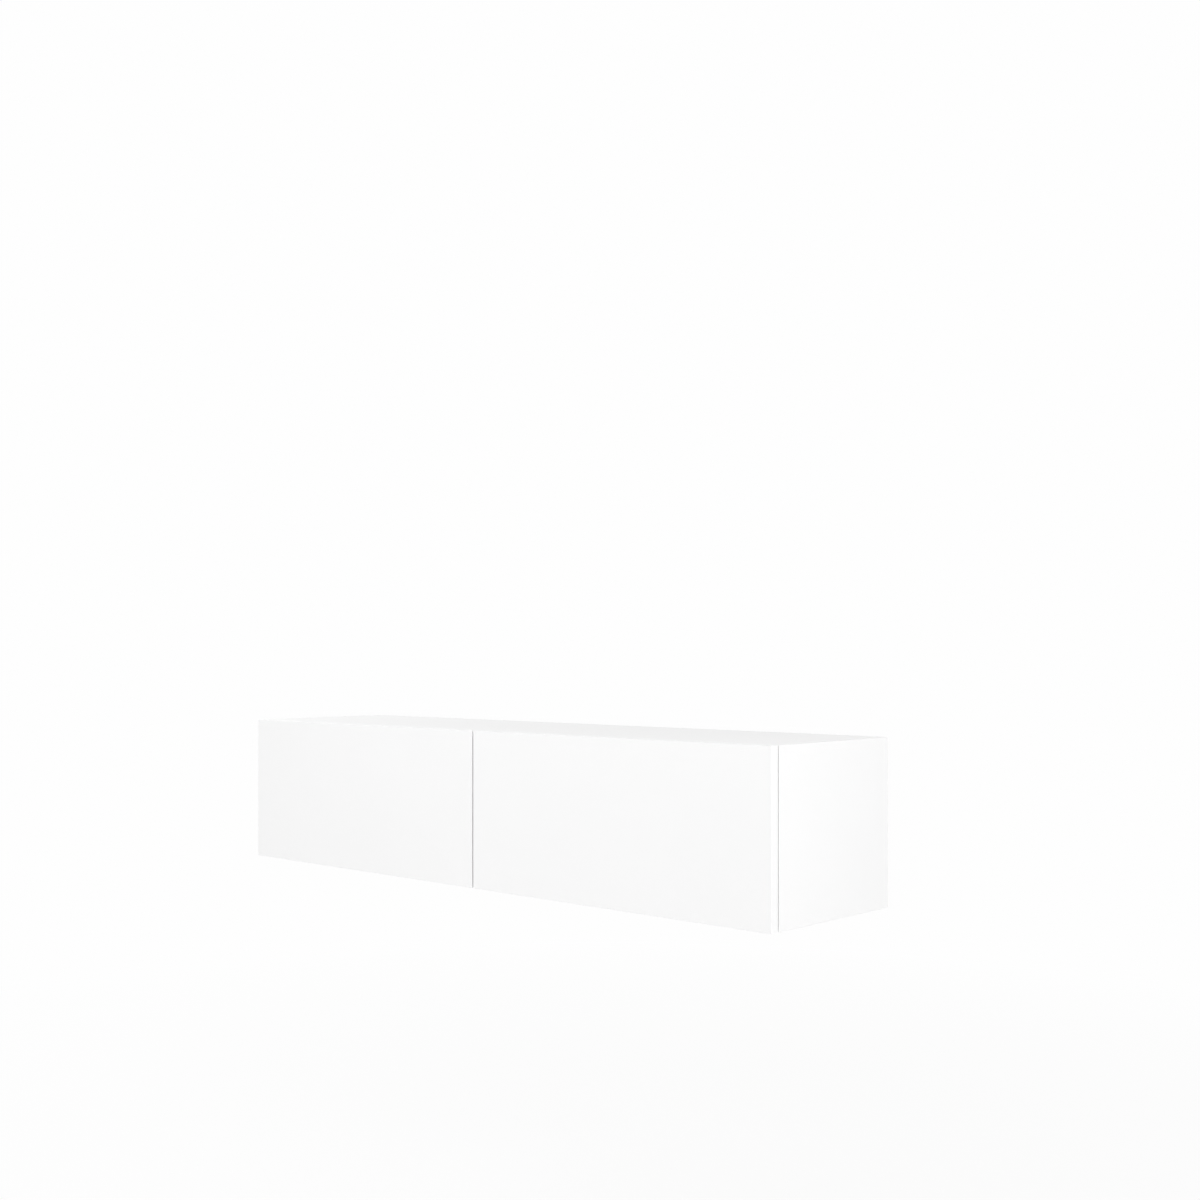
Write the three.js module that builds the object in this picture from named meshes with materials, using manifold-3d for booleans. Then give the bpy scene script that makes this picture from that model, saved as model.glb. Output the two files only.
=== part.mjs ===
// Wall-hung media console: a laminated-board carcass behind two handleless lift-up flaps.
// Millimetres. +Z is up, +Y points to the wall, +X is to the right as seen from the front.
// The origin is the middle of the wall rail's back face, where it lies on the wall.

import * as THREE from "three";
import { mergeVertices } from "three/addons/utils/BufferGeometryUtils.js";
import Module from "manifold-3d";

const wasm = await Module();
wasm.setup();

// Driving sizes of the whole console
const consoleWidth = 1400;
const consoleHeight = 300;
const carcassDepth = 325;
const boardThickness = 16;
const flapThickness = 18;
const frontGap = 2.5;
const seamGap = 3.5;
const edgeBandThickness = 1;
const edgeBandRadius = 0.8;

// Fits and cutting
const clearance = 0.3;
const slipClearance = 0.5;
const overrun = 2;

// Roundness of turned shapes, in sides
const boreSides = 24;
const discSides = 16;
const pinSides = 12;
const screwSides = 8;
const edgeBandSteps = 3;

// Back panel, its groove and its cable outlets
const backThickness = 3;
const backInset = 18;
const grooveDepth = 6;
const outletRadius = 30;
const outletHeight = 70;
const grommetLipWidth = 4;
const grommetLipThickness = 1.5;
const grommetWall = 2;

// Wall rail
const railDrop = 50;
const railEndGap = 4;
const railSheet = 2;
const railFlangeBelow = 16;
const railFlangeAbove = 4;
const railStandOff = 8;
const railLipHeight = 12;
const railSlotLength = 12;
const railSlotWidth = 6;
const railSlotEndInset = 60;
const railSlotCount = 6;

// Cabinet hangers in the upper back corners
const hangerWidth = 18;
const hangerDepth = 46;
const hangerHeight = 40;
const hangerTopGap = 6;
const hangerWall = 2;
const hangerSlotWidth = 5;
const hookThickness = 3;
const hookBarHeight = 7;
const hookNoseDrop = 14.5;
const hookNoseThickness = 3;
const hangerCoverWall = 1.2;
const hangerScrewRadius = 3.2;
const hangerScrewLength = 24;
const hangerScrewSpacing = 18;
const hangerFixingSpacing = 26;

// Concealed hinges between the top panel and the flaps
const hingeInset = 110;
const pivotDepth = 8.2;
const pivotDrop = 7;
const cupRadius = 17.5;
const cupDepth = 12;
const cupEdge = 3;
const cupWall = 0.8;
const cupFlangeThickness = 1;
const cupFlangeMargin = 1;
const cupEarReach = 28;
const cupEarHeight = 16;
const cupScrewReach = 22.5;
const pinRadius = 1.25;
const pinHalfLength = 6.4;
const eyeRadius = 2.3;
const hookHalfWidth = 3.8;
const neckHalfThickness = 1.8;
const armHalfWidth = 6;
const armHeight = 9;
const armSheet = 2;
const armLength = 72;
const armShoulder = 12;
const plateThickness = 3;
const plateSetback = 28;
const plateLength = 46;
const plateHalfWidth = 22;
const plateScrewReach = 16;
const plateWingHalfWidth = 8;

// Lift stays on the outer side panels
const staySetback = 150;
const stayDrop = 60;
const bracketReach = 20;
const bracketDrop = 100;
const housingThickness = 10;
const housingHalfLength = 38;
const housingHalfHeight = 24;
const housingCorner = 8;
const stayCoverThickness = 1.5;
const stayCoverMargin = 4;
const staySheet = 2.5;
const stayBarRadius = 8;
const stayPinRadius = 3;
const stayPinSeat = 3;
const stayRivetHeadRadius = 5;
const stayRivetHeadHeight = 1.5;
const bracketPlateThickness = 2;
const bracketPlateHalfHeight = 22;
const bracketPlateReach = 18;
const bracketScrewSpacing = 28;
const bracketScrewInset = 10;
const housingScrewSpacing = 56;

// Push latches on the bottom panel
const latchWidth = 18;
const latchHeight = 18;
const latchLength = 60;
const latchSetback = 2;
const latchBoreRadius = 5;
const latchBackWall = 4;
const latchEarReach = 16;
const latchEarThickness = 3;
const latchEarLength = 14;
const plungerLength = 38;
const springRadius = 3.6;
const springWire = 0.8;
const springTurns = 7;
const springStepsPerTurn = 8;
const springSides = 5;
const strikeRadius = 9;
const strikeThickness = 1;

// Screws with round heads
const screwHeadRadius = 3.5;
const screwHeadHeight = 1.8;
const screwShankRadius = 1.7;
const screwLength = 11;

// Bumpers between the carcass edges and the flaps
const bumperRadius = 4;
const bumperSideInset = 60;
const bumperDomeShare = 0.6;

// Levels and planes that the pieces share
const halfWidth = consoleWidth / 2;
const topZ = railDrop;
const baseZ = topZ - consoleHeight;
const ceilingZ = topZ - boardThickness;
const floorZ = baseZ + boardThickness;
const innerX = halfWidth - boardThickness;
const partitionX = boardThickness / 2;
const wallY = 0;
const edgeY = wallY - carcassDepth;
const flapBackY = edgeY - frontGap;
const flapFrontY = flapBackY - flapThickness;
const backRearY = wallY - backInset;
const backFrontY = backRearY - backThickness;
const hingeY = flapBackY - pivotDepth;
const hingeZ = topZ - pivotDrop;
const cupZ = topZ - cupEdge - cupRadius;
const flapInnerX = seamGap / 2;
const flapMiddleX = (halfWidth + flapInnerX) / 2;
const railTopZ = railFlangeAbove - railSheet + railLipHeight;
const stayPivotY = hingeY + staySetback;
const stayPivotZ = hingeZ - stayDrop;
const bracketPivotY = flapBackY + bracketReach;
const bracketPivotZ = hingeZ - bracketDrop;
const elbowY = stayPivotY + bracketPivotY - hingeY;
const elbowZ = stayPivotZ + bracketPivotZ - hingeZ;
const stayArmX = innerX - housingThickness - slipClearance;
const stayLinkX = stayArmX - staySheet - slipClearance;
const stayEarX = stayLinkX - staySheet - slipClearance;
const latchZ = floorZ + latchHeight / 2;
const latchFrontY = edgeY + latchSetback;
const plungerTipY = flapBackY + strikeThickness + clearance;
const plungerEndY = plungerTipY + plungerLength;
const hangerTopZ = ceilingZ - hangerTopGap;
const hangerBaseZ = hangerTopZ - hangerHeight;
const hangerBackY = backFrontY - clearance;
const hangerFrontY = hangerBackY - hangerDepth;
const hookX = innerX - hangerWidth / 2;
const hookBaseZ = railTopZ + clearance;
const hookTopZ = hookBaseZ + hookBarHeight;
const sides = [-1, 1];
const sideNames = { [-1]: "left", 1: "right" };

// Finishes
const whiteLaminate = () => finish(0xf6f6f6, 0.42, 0);
const whiteEdge = () => finish(0xf6f6f6, 0.4, 0);
const whiteHardboard = () => finish(0xe9e9e6, 0.6, 0);
const whitePlastic = () => finish(0xf0f0ee, 0.4, 0);
const greyPlastic = () => finish(0xa9abad, 0.45, 0);
const zincSteel = () => finish(0xb9bcc0, 0.35, 1);
const nickelSteel = () => finish(0xc9cacc, 0.25, 1);
const springSteel = () => finish(0x8f9296, 0.3, 1);
const clearRubber = () => finish(0xdfe3e4, 0.3, 0);

function finish(color, roughness, metalness) {
  return new THREE.MeshStandardMaterial({ color, roughness, metalness });
}

// Solids: geometry in, a body that can be cut and joined out, and back again
function solidOf(geometry) {
  geometry.deleteAttribute("normal");
  geometry.deleteAttribute("uv");
  const merged = mergeVertices(geometry);
  const mesh = new wasm.Mesh({
    numProp: 3,
    vertProperties: new Float32Array(merged.attributes.position.array),
    triVerts: new Uint32Array(merged.index.array),
  });
  mesh.merge();
  return new wasm.Manifold(mesh);
}

function geometryOf(solid) {
  const mesh = solid.getMesh();
  const geometry = new THREE.BufferGeometry();
  geometry.setAttribute("position", new THREE.BufferAttribute(mesh.vertProperties, 3));
  geometry.setIndex(new THREE.BufferAttribute(mesh.triVerts, 1));
  geometry.computeVertexNormals();
  return geometry;
}

function join(...solids) {
  return solids.flat().reduce((whole, next) => whole.add(next));
}

function cut(solid, ...tools) {
  return tools.flat().reduce((rest, tool) => rest.subtract(tool), solid);
}

// A box between two opposite corners, given in any order
function block(x0, x1, y0, y1, z0, z1) {
  const geometry = new THREE.BoxGeometry(Math.abs(x1 - x0), Math.abs(y1 - y0), Math.abs(z1 - z0));
  geometry.translate((x0 + x1) / 2, (y0 + y1) / 2, (z0 + z1) / 2);
  return solidOf(geometry);
}

// Turns a shape that was drawn along +Y so that it runs from one point in a direction
function aim(geometry, from, direction) {
  const turn = new THREE.Quaternion().setFromUnitVectors(new THREE.Vector3(0, 1, 0), direction);
  geometry.applyQuaternion(turn);
  geometry.translate(from.x, from.y, from.z);
  return solidOf(geometry);
}

// A round bar between two points
function bar(from, to, radius, count) {
  const length = from.distanceTo(to);
  const geometry = new THREE.CylinderGeometry(radius, radius, length, count);
  geometry.translate(0, length / 2, 0);
  return aim(geometry, from, to.clone().sub(from).normalize());
}

// A turned piece: [radius, height] points up its own axis
function turned(profile, from, direction, count) {
  const points = profile.map(([radius, height]) => new THREE.Vector2(radius, height));
  return aim(new THREE.LatheGeometry(points, count), from, direction);
}

// A sheet drawn in the plane of depth and height, from x0 to x1
function sheetAcross(shape, x0, x1, count) {
  const depth = Math.abs(x1 - x0);
  const settings = { depth, bevelEnabled: false, curveSegments: count };
  const geometry = new THREE.ExtrudeGeometry(shape, settings);
  const frame = new THREE.Matrix4().makeBasis(
    new THREE.Vector3(0, 1, 0),
    new THREE.Vector3(0, 0, 1),
    new THREE.Vector3(1, 0, 0),
  );
  geometry.applyMatrix4(frame);
  geometry.translate(Math.min(x0, x1), 0, 0);
  return solidOf(geometry);
}

function outline(points) {
  return new THREE.Shape(points.map(([across, z]) => new THREE.Vector2(across, z)));
}

// A slab between two planes of depth, with the rims of its front and back rounded
function easedSlab(x0, x1, y0, y1, z0, z1, radius) {
  const [left, right] = [Math.min(x0, x1) + radius, Math.max(x0, x1) - radius];
  const [base, top] = [z0 + radius, z1 - radius];
  const depth = y1 - y0 - radius - radius;
  const geometry = new THREE.ExtrudeGeometry(
    outline([
      [left, base],
      [right, base],
      [right, top],
      [left, top],
    ]),
    { depth, bevelThickness: radius, bevelSize: radius, bevelSegments: edgeBandSteps },
  );
  const frame = new THREE.Matrix4().makeBasis(
    new THREE.Vector3(1, 0, 0),
    new THREE.Vector3(0, 0, 1),
    new THREE.Vector3(0, -1, 0),
  );
  geometry.applyMatrix4(frame);
  geometry.translate(0, y1 - radius, 0);
  return solidOf(geometry);
}

// A bar with round ends between two pivots
function strapShape(y0, z0, y1, z1, radius) {
  const heading = Math.atan2(z1 - z0, y1 - y0);
  const quarter = Math.PI / 2;
  const shape = new THREE.Shape();
  shape.absarc(y0, z0, radius, heading + quarter, heading - quarter, false);
  shape.absarc(y1, z1, radius, heading - quarter, heading + quarter, false);
  return shape;
}

const at = (x, y, z) => new THREE.Vector3(x, y, z);
const alongX = (side) => new THREE.Vector3(side, 0, 0);
const forward = new THREE.Vector3(0, -1, 0);
const back = new THREE.Vector3(0, 1, 0);
const up = new THREE.Vector3(0, 0, 1);
const down = new THREE.Vector3(0, 0, -1);

// A screw whose head sits on the fitting that it holds, and whose shank runs into the board
function screw({ head, into }) {
  const profile = [
    [0, -screwHeadHeight],
    [screwHeadRadius, -screwHeadHeight / 2],
    [screwHeadRadius, 0],
    [screwShankRadius, 0],
    [screwShankRadius, screwLength],
    [0, screwLength],
  ];
  return turned(profile, head, into, screwSides);
}

// The hole that a screw needs in its board
function screwHole({ head, into }) {
  const start = head.clone();
  const end = head.clone().addScaledVector(into, screwLength + clearance);
  return bar(start, end, screwShankRadius + clearance, screwSides);
}

// Places along each flap where its hinges sit
const hingePlaces = (side) => [side * (flapInnerX + hingeInset), side * (halfWidth - hingeInset)];

// Where each fitting's screws go: the middle of the head's underside, and the way in
function hingePlateScrews(x) {
  const y = hingeY + plateSetback + plateLength / 2;
  const z = ceilingZ - plateThickness;
  return sides.map((end) => ({ head: at(x + end * plateScrewReach, y, z), into: up }));
}

function cupScrews(x) {
  const y = flapBackY + cupFlangeThickness;
  return sides.map((end) => ({ head: at(x + end * cupScrewReach, y, cupZ), into: forward }));
}

function bracketScrews(side) {
  const x = side * (stayEarX - staySheet - bracketScrewInset);
  const y = flapBackY + bracketPlateThickness;
  const reach = bracketScrewSpacing / 2;
  return sides.map((end) => ({ head: at(x, y, bracketPivotZ + end * reach), into: forward }));
}

function stayScrews(side) {
  const x = side * (innerX - housingThickness + stayCoverThickness);
  const reach = housingScrewSpacing / 2;
  return sides.map((end) => ({ head: at(x, stayPivotY + end * reach, stayPivotZ), into: alongX(side) }));
}

function hangerScrews(side) {
  const x = side * (innerX - hangerWall);
  const y = (hangerFrontY + hangerBackY) / 2;
  const z = (hangerTopZ + hangerBaseZ) / 2;
  const reach = hangerFixingSpacing / 2;
  return sides.map((end) => ({ head: at(x, y + end * reach, z), into: alongX(side) }));
}

function latchScrews(side) {
  const x = side * flapMiddleX;
  const y = latchFrontY + latchEarLength / 2;
  const z = floorZ + latchEarThickness;
  const reach = latchWidth / 2 + latchEarReach / 2;
  return sides.map((end) => ({ head: at(x + end * reach, y, z), into: down }));
}

const screwed = (piece, places) => join(piece, places.map(screw));

// Carcass boards
function topPanel() {
  const board = block(-halfWidth, halfWidth, edgeY, wallY, ceilingZ, topZ);
  const holes = sides.flatMap(hingePlaces).flatMap(hingePlateScrews).map(screwHole);
  return cut(board, backGroove(ceilingZ - overrun, ceilingZ + grooveDepth), holes);
}

function bottomPanel() {
  const board = block(-innerX, innerX, edgeY, wallY, baseZ, floorZ);
  const holes = sides.flatMap(latchScrews).map(screwHole);
  return cut(board, backGroove(floorZ - grooveDepth, floorZ + overrun), holes);
}

function backGroove(z0, z1) {
  const end = innerX + grooveDepth;
  return block(-end, end, backFrontY - clearance, backRearY + clearance, z0, z1);
}

function sidePanel(side) {
  const board = block(side * innerX, side * halfWidth, edgeY, wallY, baseZ, ceilingZ);
  const groove = block(
    side * (innerX - overrun),
    side * (innerX + grooveDepth),
    backFrontY - clearance,
    backRearY + clearance,
    floorZ - grooveDepth,
    ceilingZ + overrun,
  );
  return cut(board, groove, stayScrews(side).map(screwHole), hangerScrews(side).map(screwHole));
}

function centrePartition() {
  return block(-partitionX, partitionX, edgeY, backFrontY - clearance, floorZ, ceilingZ);
}

function backPanel() {
  const end = innerX + grooveDepth - clearance;
  const baseEdge = floorZ - grooveDepth + clearance;
  const topEdge = ceilingZ + grooveDepth - clearance;
  const sheet = block(-end, end, backFrontY, backRearY, baseEdge, topEdge);
  const tools = sides.flatMap((side) => [
    bar(
      at(side * flapMiddleX, backFrontY - overrun, floorZ + outletHeight),
      at(side * flapMiddleX, backRearY + overrun, floorZ + outletHeight),
      outletRadius,
      boreSides,
    ),
    block(
      side * (hookX - hangerSlotWidth / 2 - clearance),
      side * (hookX + hangerSlotWidth / 2 + clearance),
      backFrontY - overrun,
      backRearY + overrun,
      hookBaseZ - slipClearance - overrun,
      hookTopZ + slipClearance + overrun,
    ),
  ]);
  return cut(sheet, tools);
}

// A lipped ring that lines a cable outlet
function cableGrommet(side) {
  const outer = outletRadius - clearance;
  const inner = outer - grommetWall;
  const lip = outletRadius + grommetLipWidth;
  const lipTop = -clearance;
  const profile = [
    [inner, backThickness],
    [inner, lipTop - grommetLipThickness],
    [lip, lipTop - grommetLipThickness],
    [lip, lipTop],
    [outer, lipTop],
    [outer, backThickness],
    [inner, backThickness],
  ];
  return turned(profile, at(side * flapMiddleX, backFrontY, floorZ + outletHeight), back, boreSides);
}

// Wall rail: a folded strip with slots for the wall screws and a lip that the hooks drop behind
function wallRail() {
  const end = innerX - railEndGap;
  const stepZ = railFlangeAbove - railSheet;
  const profile = outline([
    [wallY, -railFlangeBelow],
    [wallY, railFlangeAbove],
    [wallY - railStandOff + railSheet, railFlangeAbove],
    [wallY - railStandOff + railSheet, railTopZ],
    [wallY - railStandOff, railTopZ],
    [wallY - railStandOff, stepZ],
    [wallY - railSheet, stepZ],
    [wallY - railSheet, -railFlangeBelow],
  ]);
  const strip = sheetAcross(profile, -end, end, 1);
  const firstX = -end + railSlotEndInset;
  const pitch = (-2 * firstX) / (railSlotCount - 1);
  const slots = Array.from({ length: railSlotCount }, (_, index) => {
    const x = firstX + index * pitch;
    const middleZ = -railFlangeBelow / 2;
    return block(
      x - railSlotLength / 2,
      x + railSlotLength / 2,
      wallY - railSheet - overrun,
      wallY + overrun,
      middleZ - railSlotWidth / 2,
      middleZ + railSlotWidth / 2,
    );
  });
  return cut(strip, slots);
}

// Cabinet hanger: a steel case on the side panel, its hook, its adjusters and its cover
function hangerCase(side) {
  const shell = block(
    side * innerX,
    side * (innerX - hangerWidth),
    hangerFrontY,
    hangerBackY,
    hangerBaseZ,
    hangerTopZ,
  );
  const hollow = block(
    side * (innerX - hangerWall),
    side * (innerX - hangerWidth + hangerWall),
    hangerFrontY + hangerWall,
    hangerBackY + overrun,
    hangerBaseZ + hangerWall,
    hangerTopZ - hangerWall,
  );
  const adjusters = hangerAdjusterAxes(side).map(hangerAdjuster);
  return screwed(join(cut(shell, hollow), adjusters), hangerScrews(side));
}

function hangerAdjusterAxes(side) {
  const middle = (hangerTopZ + hangerBaseZ) / 2;
  const x = side * (innerX - hangerWidth + hangerWall + hangerScrewRadius + slipClearance);
  return sides.map((end) => [x, middle + (end * hangerScrewSpacing) / 2]);
}

function hangerHook(side) {
  const noseY = wallY - railStandOff + railSheet + slipClearance;
  const tailY = hangerFrontY + hangerScrewLength;
  const profile = outline([
    [tailY, hookBaseZ],
    [noseY, hookBaseZ],
    [noseY, hookTopZ - hookNoseDrop],
    [noseY + hookNoseThickness, hookTopZ - hookNoseDrop],
    [noseY + hookNoseThickness, hookTopZ],
    [tailY, hookTopZ],
  ]);
  return sheetAcross(profile, side * (hookX - hookThickness / 2), side * (hookX + hookThickness / 2), 1);
}

function hangerAdjuster([x, z]) {
  const headY = hangerFrontY - clearance;
  return bar(at(x, headY, z), at(x, headY + hangerScrewLength, z), hangerScrewRadius, screwSides);
}

function hangerCover(side) {
  const gap = clearance + hangerCoverWall;
  const outer = block(
    side * innerX,
    side * (innerX - hangerWidth - gap),
    hangerFrontY - gap,
    hangerBackY,
    hangerBaseZ - gap,
    hangerTopZ + gap,
  );
  const hollow = block(
    side * (innerX + overrun),
    side * (innerX - hangerWidth - clearance),
    hangerFrontY - clearance,
    hangerBackY + overrun,
    hangerBaseZ - clearance,
    hangerTopZ + clearance,
  );
  const startY = hangerFrontY - gap - overrun;
  const radius = hangerScrewRadius + clearance;
  const holes = hangerAdjusterAxes(side).map(([x, z]) =>
    bar(at(x, startY, z), at(x, hangerFrontY, z), radius, screwSides),
  );
  return cut(outer, hollow, holes);
}

// Concealed hinge: cup in the flap, arm and mounting plate under the top panel
function hingeCup(x) {
  const mouthY = flapBackY + cupFlangeThickness;
  const floorY = flapBackY - cupDepth + clearance;
  const outer = cupRadius - clearance;
  const flangeTop = topZ - cupEdge + cupFlangeMargin;
  const flangeBase = cupZ - cupRadius - cupFlangeMargin;
  const flangeHalfWidth = cupRadius + cupFlangeMargin;
  const bowl = bar(at(x, floorY, cupZ), at(x, mouthY, cupZ), outer, boreSides);
  const flange = block(
    x - flangeHalfWidth,
    x + flangeHalfWidth,
    flapBackY,
    mouthY,
    flangeBase,
    flangeTop,
  );
  const ears = block(
    x - cupEarReach,
    x + cupEarReach,
    flapBackY,
    mouthY,
    cupZ - cupEarHeight / 2,
    cupZ + cupEarHeight / 2,
  );
  const hollow = bar(
    at(x, floorY + cupWall, cupZ),
    at(x, mouthY + overrun, cupZ),
    outer - cupWall,
    boreSides,
  );
  return screwed(cut(join(bowl, flange, ears), hollow), cupScrews(x));
}

function cupBore(x) {
  return bar(at(x, flapBackY - cupDepth, cupZ), at(x, flapBackY + overrun, cupZ), cupRadius, boreSides);
}

// The arm's neck hangs on the pivot pin inside the cup, and its channel runs back under the plate
function hingeArm(x) {
  const armTopZ = ceilingZ - plateThickness;
  const armBaseZ = armTopZ - armHeight;
  const eye = bar(
    at(x - hookHalfWidth, hingeY, hingeZ),
    at(x + hookHalfWidth, hingeY, hingeZ),
    eyeRadius,
    pinSides,
  );
  const neck = block(
    x - hookHalfWidth,
    x + hookHalfWidth,
    hingeY - neckHalfThickness,
    hingeY + neckHalfThickness,
    armBaseZ,
    hingeZ,
  );
  const tongue = block(
    x - hookHalfWidth,
    x + hookHalfWidth,
    hingeY,
    hingeY + armShoulder,
    armBaseZ,
    armTopZ,
  );
  const channel = block(
    x - armHalfWidth,
    x + armHalfWidth,
    hingeY + armShoulder,
    hingeY + armLength,
    armBaseZ,
    armTopZ,
  );
  const hollow = block(
    x - armHalfWidth + armSheet,
    x + armHalfWidth - armSheet,
    hingeY + armShoulder + armSheet,
    hingeY + armLength + overrun,
    armBaseZ + armSheet,
    armTopZ + overrun,
  );
  const bore = bar(
    at(x - hookHalfWidth - overrun, hingeY, hingeZ),
    at(x + hookHalfWidth + overrun, hingeY, hingeZ),
    pinRadius + clearance / 2,
    pinSides,
  );
  return cut(join(eye, neck, tongue, cut(channel, hollow)), bore);
}

function hingePin(x) {
  return bar(
    at(x - pinHalfLength, hingeY, hingeZ),
    at(x + pinHalfLength, hingeY, hingeZ),
    pinRadius,
    pinSides,
  );
}

function hingePlate(x) {
  const frontY = hingeY + plateSetback;
  const plate = block(
    x - plateHalfWidth,
    x + plateHalfWidth,
    frontY + plateLength / 2 - plateWingHalfWidth,
    frontY + plateLength / 2 + plateWingHalfWidth,
    ceilingZ - plateThickness,
    ceilingZ,
  );
  const spine = block(
    x - armHalfWidth - armSheet,
    x + armHalfWidth + armSheet,
    frontY,
    frontY + plateLength,
    ceilingZ - plateThickness,
    ceilingZ,
  );
  return screwed(join(plate, spine), hingePlateScrews(x));
}

// Flap: a laminated board with bores for the hinge cups, and the band glued round its edges
function flap(side) {
  const board = block(
    side * (flapInnerX + edgeBandThickness),
    side * (halfWidth - edgeBandThickness),
    flapFrontY,
    flapBackY,
    baseZ + edgeBandThickness,
    topZ - edgeBandThickness,
  );
  const places = [...hingePlaces(side).flatMap(cupScrews), ...bracketScrews(side)];
  return cut(board, hingePlaces(side).map(cupBore), places.map(screwHole));
}

function flapEdgeBand(side) {
  const band = easedSlab(
    side * flapInnerX,
    side * halfWidth,
    flapFrontY,
    flapBackY,
    baseZ,
    topZ,
    edgeBandRadius,
  );
  const board = block(
    side * (flapInnerX + edgeBandThickness),
    side * (halfWidth - edgeBandThickness),
    flapFrontY - overrun,
    flapBackY + overrun,
    baseZ + edgeBandThickness,
    topZ - edgeBandThickness,
  );
  return cut(band, board);
}

// Lift stay: housing and cover on the side panel, an arm, a link, and a bracket on the flap
function stayHousing(side) {
  const y0 = stayPivotY - housingHalfLength;
  const y1 = stayPivotY + housingHalfLength;
  const z0 = stayPivotZ - housingHalfHeight;
  const z1 = stayPivotZ + housingHalfHeight;
  const body = sheetAcross(
    outline([
      [y0 + housingCorner, z0],
      [y1 - housingCorner, z0],
      [y1, z0 + housingCorner],
      [y1, z1 - housingCorner],
      [y1 - housingCorner, z1],
      [y0 + housingCorner, z1],
      [y0, z1 - housingCorner],
      [y0, z0 + housingCorner],
    ]),
    side * innerX,
    side * (innerX - housingThickness + stayCoverThickness),
    1,
  );
  return screwed(cut(body, stayPinHole(side)), stayScrews(side));
}

function stayPinHole(side) {
  return bar(
    at(side * (innerX - stayPinSeat), stayPivotY, stayPivotZ),
    at(side * (innerX - housingThickness - overrun), stayPivotY, stayPivotZ),
    stayPinRadius + clearance,
    pinSides,
  );
}

// The cover lies on the housing between its two screws, round the pivot pin
function stayCover(side) {
  const halfLength = housingScrewSpacing / 2 - screwHeadRadius - clearance;
  const halfHeight = housingHalfHeight - stayCoverMargin;
  const plate = block(
    side * (innerX - housingThickness + stayCoverThickness),
    side * (innerX - housingThickness),
    stayPivotY - halfLength,
    stayPivotY + halfLength,
    stayPivotZ - halfHeight,
    stayPivotZ + halfHeight,
  );
  return cut(plate, stayPinHole(side));
}

// A pivot pin with a head on its inner end, seen from the middle of the console
function rivet(side, fromX, toX, y, z) {
  const length = fromX - toX;
  const profile = [
    [0, 0],
    [stayPinRadius, 0],
    [stayPinRadius, length],
    [stayRivetHeadRadius, length],
    [stayRivetHeadRadius - stayRivetHeadHeight / 2, length + stayRivetHeadHeight],
    [0, length + stayRivetHeadHeight],
  ];
  return turned(profile, at(side * fromX, y, z), alongX(-side), pinSides);
}

function stayPivotPin(side) {
  const seatX = innerX - stayPinSeat - clearance;
  return straightPin(side, seatX, stayArmX - staySheet - clearance, stayPivotY, stayPivotZ);
}

function straightPin(side, fromX, toX, y, z) {
  return bar(at(side * fromX, y, z), at(side * toX, y, z), stayPinRadius, pinSides);
}

function pivotEye(side, x, y, z) {
  return bar(
    at(side * (x + overrun), y, z),
    at(side * (x - staySheet - overrun), y, z),
    stayPinRadius + clearance,
    pinSides,
  );
}

function stayArm(side) {
  const strap = sheetAcross(
    strapShape(stayPivotY, stayPivotZ, elbowY, elbowZ, stayBarRadius),
    side * stayArmX,
    side * (stayArmX - staySheet),
    pinSides,
  );
  const elbow = rivet(side, stayArmX - staySheet / 2, stayLinkX - staySheet - clearance, elbowY, elbowZ);
  return join(cut(strap, pivotEye(side, stayArmX, stayPivotY, stayPivotZ)), elbow);
}

function stayLink(side) {
  const strap = sheetAcross(
    strapShape(elbowY, elbowZ, bracketPivotY, bracketPivotZ, stayBarRadius),
    side * stayLinkX,
    side * (stayLinkX - staySheet),
    pinSides,
  );
  return cut(
    strap,
    pivotEye(side, stayLinkX, elbowY, elbowZ),
    pivotEye(side, stayLinkX, bracketPivotY, bracketPivotZ),
  );
}

function flapBracket(side) {
  const plate = block(
    side * stayEarX,
    side * (stayEarX - staySheet - bracketPlateReach),
    flapBackY,
    flapBackY + bracketPlateThickness,
    bracketPivotZ - bracketPlateHalfHeight,
    bracketPivotZ + bracketPlateHalfHeight,
  );
  const ear = sheetAcross(
    earShape(),
    side * stayEarX,
    side * (stayEarX - staySheet),
    pinSides,
  );
  const seatX = stayEarX - staySheet / 2;
  const pin = straightPin(side, seatX, stayLinkX + clearance, bracketPivotY, bracketPivotZ);
  return screwed(join(plate, ear, pin), bracketScrews(side));
}

function earShape() {
  const shape = new THREE.Shape();
  const quarter = Math.PI / 2;
  shape.moveTo(flapBackY, bracketPivotZ + bracketPlateHalfHeight);
  shape.lineTo(flapBackY, bracketPivotZ - bracketPlateHalfHeight);
  shape.lineTo(flapBackY + bracketPlateThickness, bracketPivotZ - bracketPlateHalfHeight);
  shape.absarc(bracketPivotY, bracketPivotZ, stayBarRadius, -quarter, quarter, false);
  shape.lineTo(flapBackY + bracketPlateThickness, bracketPivotZ + bracketPlateHalfHeight);
  return shape;
}

// Push latch: housing with a bore, its plunger and spring, and the strike plate on the flap
function latchHousing(side) {
  const x = side * flapMiddleX;
  const halfWide = latchWidth / 2;
  const backY = latchFrontY + latchLength;
  const body = block(x - halfWide, x + halfWide, latchFrontY, backY, floorZ, floorZ + latchHeight);
  const earX = halfWide + latchEarReach;
  const earTopZ = floorZ + latchEarThickness;
  const ears = block(x - earX, x + earX, latchFrontY, latchFrontY + latchEarLength, floorZ, earTopZ);
  const bore = bar(
    at(x, latchFrontY - overrun, latchZ),
    at(x, backY - latchBackWall, latchZ),
    latchBoreRadius,
    discSides,
  );
  return screwed(cut(join(body, ears), bore), latchScrews(side));
}

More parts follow.
